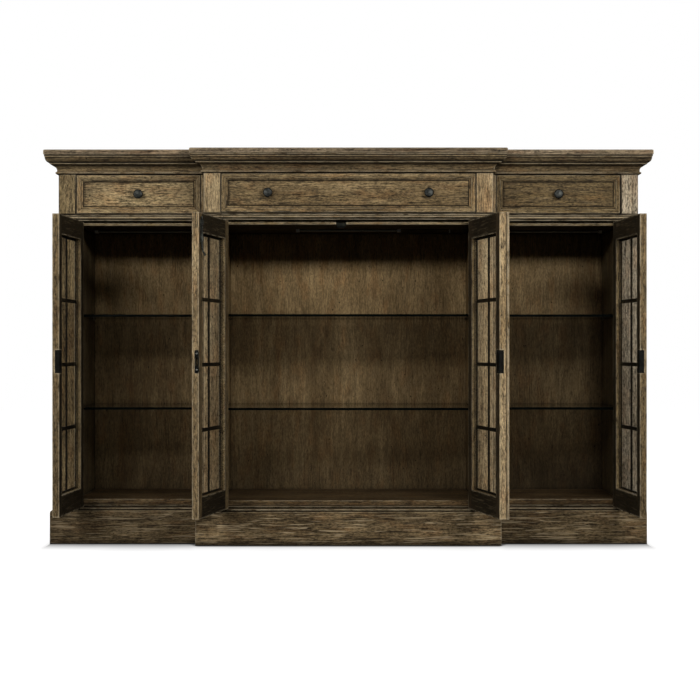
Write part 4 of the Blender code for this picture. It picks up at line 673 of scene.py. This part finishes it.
def dress_carcass():
    dress("waist_moulding", moulding_oak("rail_oak", "rail", 0.0, under=0.6, quirks=WAIST_QUIRKS,
                                         crests=WAIST_CRESTS, chop=0.3, wear=0.85))
    dress("cornice", moulding_oak("cornice_oak", "cornice", 1.7, under=0.7, quirks=CORNICE_QUIRKS,
                                  crests=CORNICE_CRESTS, lift=0.003, middle=0.22, right=0.24, chop=0.3))
    dress("top_board", moulding_oak("top_oak", "top", 6.1, quirks=TOP_QUIRKS, crests=TOP_CRESTS,
                                    middle=0.2, chop=0.5, wear=0.7))
    dress("plinth", moulding_oak("plinth_oak", "plinth", 2.9, quirks=PLINTH_QUIRKS, crests=PLINTH_CRESTS,
                                 left=0.36, right=0.16, chop=1.0, bold=0.9))
    dress("bottom_board", moulding_oak("floor_oak", "floor", 4.4, quirks=FLOOR_QUIRKS, crests=FLOOR_CRESTS,
                                       chop=0.2, wear=0.4))
    dress("drawer_deck", moulding_oak("deck_oak", "rail", 8.2, under=0.95, quirks=DECK_QUIRKS))
    dress("back_panel", upright_oak("back_oak", "back", 5.3, fade=(0.14, 0.5, 0.62), low=0.28, right=0.19,
                                    figure=0.35, chop=0.0, wear=0.0, soil=0.5, bold=0.5))
    for number, side in enumerate(("left", "right")):
        outer = upright_oak("outer_stile_oak_" + side, ("post", "pale_post")[number], 0.6 + 2.3 * number,
                            OUTER_UPRIGHTS, STILE_LEVELS, skirt=0.42 * number)
        inner = upright_oak("inner_stile_oak_" + side, ("bright_post", "right_post")[number],
                            7.6 + 1.9 * number, INNER_UPRIGHTS, STILE_LEVELS, bold=0.8)
        wall = upright_oak("partition_oak_" + side, "inside", 3.2 + 1.1 * number, fade=(0.14, 0.5, 0.42),
                           wear=0.0, bold=0.6)
        dress("stile_outer_" + side, outer)
        dress("stile_inner_" + side, inner)
        dress("partition_" + side, wall)
        dress("side_panel_" + side, side_oak("side_oak_" + side, 4.8 + 2.7 * number))


def dress_drawers():
    lining = moulding_oak("lining_oak", "lining", 9.9, chop=0.0, wear=0.1, soil=0.4, figure=0.3)
    for number, (name, (low, high)) in enumerate(DRAWER_FRONTS.items()):
        wood = drawer_front_oak("drawer_oak_" + name, "drawer_" + name, low, high, 1.3 + 2.6 * number)
        dress("drawer_front_" + name, wood)
        dress("drawer_box_" + name, lining)


def dress_doors():
    bars = black_paint("bar_black")
    pane = clear_glass("pane_glass", (0.03, 0.035, 0.03, 1), 0.03, 0.4)
    for number, (name, door) in enumerate(DOORS.items()):
        dress("door_frame_" + name, door_oak(name, door, 1.9 + 3.1 * number))
        dress("door_grid_" + name, bars)
        dress("door_glass_" + name, pane)
        for level in ("lower", "upper"):
            dress("hinge_%s_%s" % (name, level), METALS["hinge"])
    for name in ("lock_left", "lock_centre_right", "lock_right", "strike_plate"):
        dress(name, METALS["lock"])
    for name in ("slide_bolt_plate", "slide_bolt_rod"):
        dress(name, METALS["bolt"])


def dress_shelves():
    face = clear_glass("shelf_glass_face", (0.015, 0.022, 0.017, 1), 0.2, 0.8)
    edge = glass_edge("shelf_glass_edge")
    for bay in ("left", "centre", "right"):
        for level in ("lower", "upper"):
            dress_faces("shelf_%s_%s" % (bay, level), lambda centre, normal: abs(normal.z) < 0.5, face, edge)


def dress_lights():
    """A milky cover on each light bar, with a clip at either end."""
    cover = diffuser("light_diffuser")
    clip = bright_metal("clip_metal", srgb(236, 236, 230), 0.2)
    clip_length = 0.0125
    for bay in ("left", "centre", "right"):
        low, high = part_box("light_" + bay)
        middle = (low.x + high.x) / 2
        reach = (high.x - low.x) / 2 - clip_length
        dress_faces("light_" + bay, lambda centre, normal: abs(centre.x - middle) > reach, cover, clip)


def door_matrix(door):
    """From across, through and up to the place of the open door."""
    turn = Matrix.Rotation(-door.hand * math.radians(door.degrees), 4, "Z")
    return Matrix.Translation((door.x, door.y, 0)) @ turn @ Matrix.Diagonal((door.hand, 1, 1, 1))


def facing(origin, toward, up=(0, 0, 1)):
    """A frame at origin whose z looks toward and whose y is as near up as it can be."""
    z = Vector(toward).normalized()
    x = Vector(up).cross(z).normalized()
    turn = Matrix((x, z.cross(x), z)).transposed().to_4x4()
    return Matrix.Translation(origin) @ turn


def loft(shape, rings, place=Matrix(), closed=True):
    """A skin through rings of equal count, set at a place and closed at both ends if asked."""
    rings = [[shape.verts.new(place @ Vector(point)) for point in ring] for ring in rings]
    count = len(rings[0])
    for first, second in zip(rings, rings[1:]):
        for i in range(count):
            j = (i + 1) % count
            shape.faces.new((first[i], first[j], second[j], second[i]))
    if closed:
        shape.faces.new(rings[0][::-1])
        shape.faces.new(rings[-1])


def shifted(outline, level, inset=0.0):
    """An outline at a height, drawn in towards its own middle by inset."""
    middle = sum((Vector(p) for p in outline), Vector((0, 0))) / len(outline)
    ring = []
    for point in outline:
        away = Vector(point) - middle
        ring.append((*(middle + away * (1 - inset / away.length)), level))
    return ring


def pillow(shape, place, outline, thick, soft):
    """A thin plate of an outline with softened edges, standing on place's z = 0."""
    steps = ((0.0, 0.0), (thick - soft, 0.0), (thick - 0.3 * soft, 0.3 * soft), (thick, soft))
    loft(shape, [shifted(outline, *step) for step in steps], place)


def pierced_plate(place, outline, hole, steps):
    """A plate around a hole, whose rim climbs from the outline by steps of (height, inset)."""
    rings = [shifted(outline, *step) for step in steps]
    floor = shifted(hole, 0.0)
    shape = bmesh.new()
    loft(shape, [floor, *rings, shifted(hole, steps[-1][0]), floor], place, closed=False)
    bmesh.ops.remove_doubles(shape, verts=shape.verts, dist=1e-6)
    return shape


def ellipse(wide, high, count):
    angles = [2 * math.pi * i / count for i in range(count)]
    return [(wide * math.cos(a), high * math.sin(a)) for a in angles]


def rounded_box(wide, high, radius, steps=4):
    """A rectangle of half sizes wide and high with rounded corners."""
    points = []
    for quarter, (sx, sy) in enumerate(((1, 1), (-1, 1), (-1, -1), (1, -1))):
        for step in range(steps + 1):
            a = math.pi / 2 * (quarter + step / steps)
            points.append((sx * (wide - radius) + radius * math.cos(a),
                           sy * (high - radius) + radius * math.sin(a)))
    return points


def four_corners(x, y):
    return [(sx * x, sy * y) for sy in (-1, 1) for sx in (-1, 1)]


# A screw's head from its rim to its crown, as shares of its radius and height.
SCREW_HEAD = ((1.0, 0.0), (0.97, 0.45), (0.82, 0.82), (0.5, 1.0))


def screw(shape, place, radius, turn):
    """A low round head with a slot across it."""
    place = place @ Matrix.Rotation(turn, 4, "Z")
    slot = 0.16 * radius
    high = 0.42 * radius
    slot_floor = 0.93 * radius
    rim = [(x, y, 0.0) for x, y in ellipse(radius, radius, 20)]
    floor = [(x, y, 0.2 * high) for x, y in ellipse(slot_floor, slot_floor, 20)]
    loft(shape, [rim, floor], place)
    for side in (-1, 1):
        rings = []
        for share, level in SCREW_HEAD:
            reach = share * radius
            start = math.asin(slot / reach)
            arc = [start + (math.pi - 2 * start) * i / 12 for i in range(13)]
            rings.append([(reach * math.cos(a), side * reach * math.sin(a), high * level) for a in arc])
        loft(shape, rings if side > 0 else [ring[::-1] for ring in rings], place)


def screws(shape, place, spots, level, radius, turn, step=1.0):
    """Screws at spots on a face, level above it, each turned a step further than the last."""
    for number, (x, y) in enumerate(spots):
        screw(shape, place @ Matrix.Translation((x, y, level)), radius, turn + step * number)


def new_object(name, data):
    made = bpy.data.objects.new(name, data)
    bpy.context.scene.collection.objects.link(made)
    return made


def finish_piece(name, shape, body, metal, crease=35, replaces=()):
    """One piece from a mesh, riding on a body and finished from a slot, sharp where it turns past crease."""
    bmesh.ops.recalc_face_normals(shape, faces=shape.faces)
    mesh = bpy.data.meshes.new(name)
    shape.to_mesh(mesh)
    shape.free()
    mesh.materials.append(METALS[metal])
    mesh.shade_smooth()
    mesh.set_sharp_from_angle(angle=math.radians(crease))
    piece = new_object(name, mesh)
    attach(piece, body)
    if replaces:
        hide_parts(*replaces)


# A knob from its rose to its face, as shares of its radius and length.
KNOB_SHARES = (
    (0.62, 0.0), (0.62, 0.045), (0.585, 0.085), (0.47, 0.12), (0.36, 0.19), (0.31, 0.28), (0.3, 0.36),
    (0.34, 0.45), (0.5, 0.515), (0.74, 0.55), (0.9, 0.6), (0.975, 0.66), (1.0, 0.73), (0.99, 0.79),
    (0.955, 0.845), (0.9, 0.885), (0.83, 0.91), (0.74, 0.93), (0.64, 0.945), (0.53, 0.96), (0.42, 0.972),
    (0.31, 0.983), (0.2, 0.992), (0.08, 0.998),
)
HAMMERED_FROM = 0.6
HAMMER_MARKS_PER_METRE = 330
HAMMER_DEPTH = 0.0005


def hammer_mark(point):
    """0 in the middle of a hammer mark and 1 at its rim."""
    distances = noise.voronoi(point)[0]
    return max(0.0, 1.0 - 2.2 * (distances[1] - distances[0]))


def make_knob(name, node, body):
    """A turned knob with a raised rim and a hammered face."""
    low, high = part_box(node)
    middle = (low + high) / 2
    radius = (high.x - low.x) / 2
    length = high.y - low.y
    own_marks = Vector((7.3 * middle.x, 0, 0))
    rings = []
    for share, reach in KNOB_SHARES:
        ring = []
        for x, z in ellipse(share * radius, share * radius, 72):
            dent = 0.0
            if reach > HAMMERED_FROM:
                depth = HAMMER_DEPTH * min(1.0, (1.0 - share) * 3 + 0.2)
                dent = depth * hammer_mark(Vector((x, 0, z)) * HAMMER_MARKS_PER_METRE + own_marks)
            ring.append((middle.x + x, high.y - reach * length + dent, middle.z + z))
        rings.append(ring)
    shape = bmesh.new()
    loft(shape, rings)
    finish_piece(name, shape, body, "knob", 50, [node])


def make_knobs():
    for knob in ("left", "centre_left", "centre_right", "right"):
        dress("knob_" + knob, METALS["knob"])
        make_knob("knob_fine_" + knob, "knob_" + knob, "drawer_" + knob.split("_")[0])


def make_lock(name, door):
    """A lock's edge plate with its bolt end and two screws, and the cover on its case with four."""
    body = "door_" + name
    edge = HINGE_EDGE + door.width
    proud = 0.0004
    bolt_half, bolt_reach, bolt_play, bolt_sunk = 0.0022, 0.0114, 0.0004, 0.0008
    screw_height = 0.026
    face_middle = INNER_FACE - LOCK_THICKNESS / 2 + proud
    face = door_matrix(door) @ facing((edge, face_middle, LOCK_HEIGHT), (1, 0, 0))
    plate = rounded_box(LOCK_THICKNESS / 2 - 0.0003, LOCK_LENGTH / 2 - 0.0005, 0.001)
    hole = rounded_box(bolt_half + bolt_play, 0.012, 0.0004)
    shape = pierced_plate(face, plate, hole, ((0.0, 0.0), (0.0004, 0.0), (0.0006, 0.0003)))
    finish_piece("lock_face_" + name, shape, body, "selvedge", crease=15)
    shape = bmesh.new()
    sunk = face @ Matrix.Translation((0, 0, -bolt_sunk))
    pillow(shape, sunk, rounded_box(bolt_half, bolt_reach, 0.0004), 0.0009, 0.0003)
    screws(shape, face, ((0, -screw_height), (0, screw_height)), 0.0, 0.0026, 0.6)
    finish_piece("lock_bolt_" + name, shape, body, "lock")
    shape = bmesh.new()
    case_face = INNER_FACE + 0.0008
    case = door_matrix(door) @ facing((edge - LOCK_DEPTH / 2, case_face, LOCK_HEIGHT), (0, 1, 0))
    cover = rounded_box(LOCK_DEPTH / 2 - 0.0012, LOCK_LENGTH / 2 - 0.0014, 0.0015)
    cover_thick = 0.0007
    pillow(shape, case, cover, cover_thick, 0.0004)
    finish_piece("lock_cover_" + name, shape, body, "lock")
    shape = bmesh.new()
    screws(shape, case, four_corners(0.0135, 0.0305), cover_thick - 0.0001, 0.0024, 0.4, 1.1)
    finish_piece("lock_screws_" + name, shape, body, "screw")


def make_keyhole(name, door):
    """The keyhole plate on the outside of a door that locks."""
    body = "door_" + name
    across = HINGE_EDGE + door.width - KEY_BACKSET
    place = door_matrix(door) @ facing((across, OUTER_FACE, LOCK_HEIGHT), (0, -1, 0))
    count = 40
    hole = keyhole(count)
    plate = ellipse(0.0075, 0.0165, count)
    raised_rim = ((0.0, 0.0), (0.0006, 0.0), (0.001, 0.0008), (0.001, 0.002), (0.0007, 0.0026))
    shape = pierced_plate(place, plate, hole, raised_rim)
    finish_piece("keyhole_plate_" + name, shape, body, "lock")
    # A dark sheet in the keyhole: painted shade where the hole would be dark.
    shape = bmesh.new()
    skin = 0.00005
    share = 0.92
    raised = place @ Matrix.Translation((0, 0, skin))
    pillow(shape, raised, [(share * x, share * y) for x, y in hole], 4 * skin, skin)
    finish_piece("keyhole_shade_" + name, shape, body, "dark")


def keyhole(count):
    """A round hole over a flared slot."""
    radius, raise_by, slot_half, slot_foot = 0.0022, 0.003, 0.0016, -0.0058
    slot_below = -0.55
    widest = 0.835
    points = []
    for x, y in ellipse(1.0, 1.0, count):
        if y < slot_below:
            points.append((slot_half * x / widest, slot_foot))
        else:
            points.append((radius * x, raise_by + radius * y))
    return points


def make_small_screws():
    """Screws of the strike plate and of the slide bolt's plate."""
    door = DOORS["centre_left"]
    edge = HINGE_EDGE + door.width
    strike = facing((edge, INNER_FACE - LOCK_THICKNESS / 2, LOCK_HEIGHT), (1, 0, 0))
    height = 0.0255
    shape = bmesh.new()
    screws(shape, door_matrix(door) @ strike, ((0, -height), (0, height)), -0.0006, 0.003, 1.1, 0.8)
    finish_piece("strike_screws", shape, "door_centre_left", "steel_screw")
    bolt = facing((edge - BOLT_FROM_EDGE, INNER_FACE + 0.0015, BOLT_HEIGHT), (0, 1, 0))
    shape = bmesh.new()
    screws(shape, door_matrix(door) @ bolt, four_corners(0.0058, 0.0125), 0.0, 0.0016, 0.5, 0.9)
    finish_piece("slide_bolt_screws", shape, "door_centre_left", "screw")


# How far what is fixed to the deck stays below its underside.
DECK_GAP = 0.0003


def swept_bar(name, profile, middle, half, metal):
    """A bar along x of a (y, z) profile, on the carcass."""
    shape = bmesh.new()
    loft(shape, [[(middle + side * half, y, z) for y, z in profile] for side in (-1, 1)])
    finish_piece(name, shape, "carcass", metal)


def make_keeper():
    """The plate in the deck's notch that the slide bolt stands against, its foot and its two screws."""
    x = -0.0245
    front, back = -0.2868, -0.262
    top, high, low = DECK_BOTTOM - DECK_GAP, DECK_BOTTOM + 0.0094, 1.0695
    thick, bend = 0.0014, 0.0012
    under = top - thick
    plate = [(front, high), (front, under - bend), (front + 0.3 * bend, under - 0.3 * bend),
             (front + bend, under), (back, under), (back, top), (front + thick, top), (front + thick, high)]
    near = front + bend
    foot = [(near, under), (near, low), (near + thick, low), (near + thick, under)]
    swept_bar("bolt_keeper", plate, x, 0.0168, "keeper")
    swept_bar("bolt_keeper_foot", foot, x, 0.0138, "dark")
    shape = bmesh.new()
    place = facing((x, -0.272, under), (0, 0, -1), (0, 1, 0))
    screws(shape, place, ((0.011, 0), (-0.011, 0)), 0.0, 0.0028, 0.4)
    finish_piece("bolt_keeper_screws", shape, "carcass", "screw")


def make_light_lead():
    """The flat cover of the centre light's lead under the deck, and the clip at its end."""
    top = DECK_BOTTOM - DECK_GAP
    y = -0.046
    section = [(-0.0022, 0.0), (-0.002, -0.0012), (-0.0012, -0.0021), (0.0, -0.0024), (0.0012, -0.0021),
               (0.002, -0.0012), (0.0022, 0.0)]
    shape = bmesh.new()
    loft(shape, [[(x, y + a, top + b) for a, b in section] for x in (0.1845, 0.3525)])
    finish_piece("light_lead_cover", shape, "carcass", "dark")
    shape = bmesh.new()
    place = facing((0.355, y, top), (0, 0, -1), (0, 1, 0))
    pillow(shape, place, rounded_box(0.0022, 0.007, 0.0008), 0.0125, 0.0006)
    finish_piece("light_lead_clip", shape, "carcass", "clip")


def fade(n, distance, reach):
    """1 at no distance, falling off exponentially."""
    return n.calc("EXPONENT", n.calc("DIVIDE", distance, -reach))


def floor_paint():
    """White, with the soft shadow of the cabinet painted in front of it, beside it and behind it."""
    n = Skin("studio_floor_paint")
    x, y = n.split(n.place)[:2]
    low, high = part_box("plinth")
    side = n.size(x)
    wing = n.span(side, STEP_START, STEP_END)
    front = n.times_plus(wing, STEP_DEPTH, low.y)
    past_side = n.most(n.minus(side, high.x), 0.0)
    past_front = n.most(n.minus(front, y), 0.0)
    past_back = n.most(n.minus(y, high.y), 0.0)
    contact = n.times(fade(n, past_front, 0.025), n.level(wing, 0.9, 0.25))
    corner = n.times(fade(n, n.times(past_front, past_front), 0.022), n.times(wing, 0.45))
    shadow = n.plus(contact, n.times_plus(fade(n, past_front, 0.165), 0.27, corner))
    shadow = n.least(shadow, n.level(n.above(past_side, 0.0), 0.97, 0.38))
    behind = n.above(past_back, 0.0)
    shadow = n.times_plus(n.minus(0.52, shadow), behind, shadow)
    beside = n.times_plus(fade(n, past_side, 0.012), 0.7, n.times(fade(n, past_side, 0.085), 0.3))
    shadow = n.times(n.times(shadow, beside), fade(n, past_back, 0.12))
    return n.finish(glow=n.minus(1.0, shadow), light=(1, 1, 1, 1), colour=(0.3, 0.3, 0.3, 1), rough=0.9,
                    shine=0.0)


def make_stage():
    """A pale floor that shows only the soft shadow where the cabinet stands."""
    reach = 14.0
    level = -0.0005
    mesh = bpy.data.meshes.new("studio_floor")
    mesh.from_pydata([(-reach, -reach, level), (reach, -reach, level), (reach, reach, level),
                      (-reach, reach, level)], [], [(0, 1, 2, 3)])
    floor = new_object("studio_floor", mesh)
    floor.visible_diffuse = False
    floor.visible_glossy = False
    mesh.materials.append(floor_paint())


def make_world():
    """White behind the object, and only a dim even glow on it."""
    world = bpy.data.worlds.new("studio")
    bpy.context.scene.world = world
    world.use_nodes = True
    n = Nodes(world.node_tree)
    n.tree.nodes.clear()
    seen = n.add("LightPath").outputs["Is Camera Ray"]
    dim = n.add("Background", {"Color": (1.0, 0.97, 0.93, 1), "Strength": 0.026})
    white = n.add("Background", {"Color": (1, 1, 1, 1), "Strength": 1.0})
    both = n.add("MixShader", {0: seen, 1: dim.outputs[0], 2: white.outputs[0]})
    n.add("OutputWorld", {"Surface": both.outputs[0]})


SOFTBOX_TINT = (1.0, 0.985, 0.975)


def softbox(name, place, target, size, power):
    data = bpy.data.lights.new(name, "AREA")
    data.shape = "RECTANGLE"
    data.size, data.size_y = size
    data.energy = power
    data.color = SOFTBOX_TINT
    lamp = new_object(name, data)
    lamp.location = place
    lamp.rotation_euler = (Vector(target) - Vector(place)).to_track_quat("-Z", "Y").to_euler()


def make_lights():
    """Four softboxes light the front, and four behind and beside fill the sides, the back and the top."""
    softbox("softbox_left_far", (-1.6, -4.5, 2.03), (0, -0.2, 0.9), (1.0, 0.4), 56)
    softbox("softbox_left_near", (-2.2, -1.9, 1.46), (-0.5, -0.2, 0.9), (0.9, 0.25), 12)
    softbox("softbox_right_near", (1.3, -2.3, 1.56), (0.3, -0.2, 0.95), (0.9, 0.25), 18)
    softbox("softbox_right_far", (1.2, -3.4, 1.74), (0, -0.2, 0.9), (0.9, 0.25), 17)
    for name, way in (("left", -1), ("right", 1)):
        softbox("softbox_back_" + name, (1.9 * way, 3.8, 3.0), (0, 0.2, 0.9), (1.6, 1.0), 60)
        softbox("softbox_side_" + name, (3.8 * way, 1.6, 2.4), (way, 0, 0.7), (1.2, 1.0), 42)


def make_camera():
    data = bpy.data.cameras.new("photo_camera")
    data.lens = CAMERA_LENS
    data.sensor_width = 36.0
    data.shift_x, data.shift_y = CAMERA_SHIFT
    data.clip_end = 100.0
    camera = new_object("photo_camera", data)
    camera.location = CAMERA_PLACE
    camera.rotation_euler = (math.radians(90), 0, 0)
    bpy.context.scene.camera = camera


dress_carcass()
dress_drawers()
dress_doors()
dress_shelves()
dress_lights()
make_knobs()
locking_doors = [(name, door) for name, door in DOORS.items() if door.locks]
for name, door in locking_doors:
    make_lock(name, door)
for name, door in locking_doors:
    make_keyhole(name, door)
make_small_screws()
make_keeper()
make_light_lead()
make_stage()
make_world()
make_lights()
make_camera()
bpy.context.scene.view_settings.view_transform = "Standard"
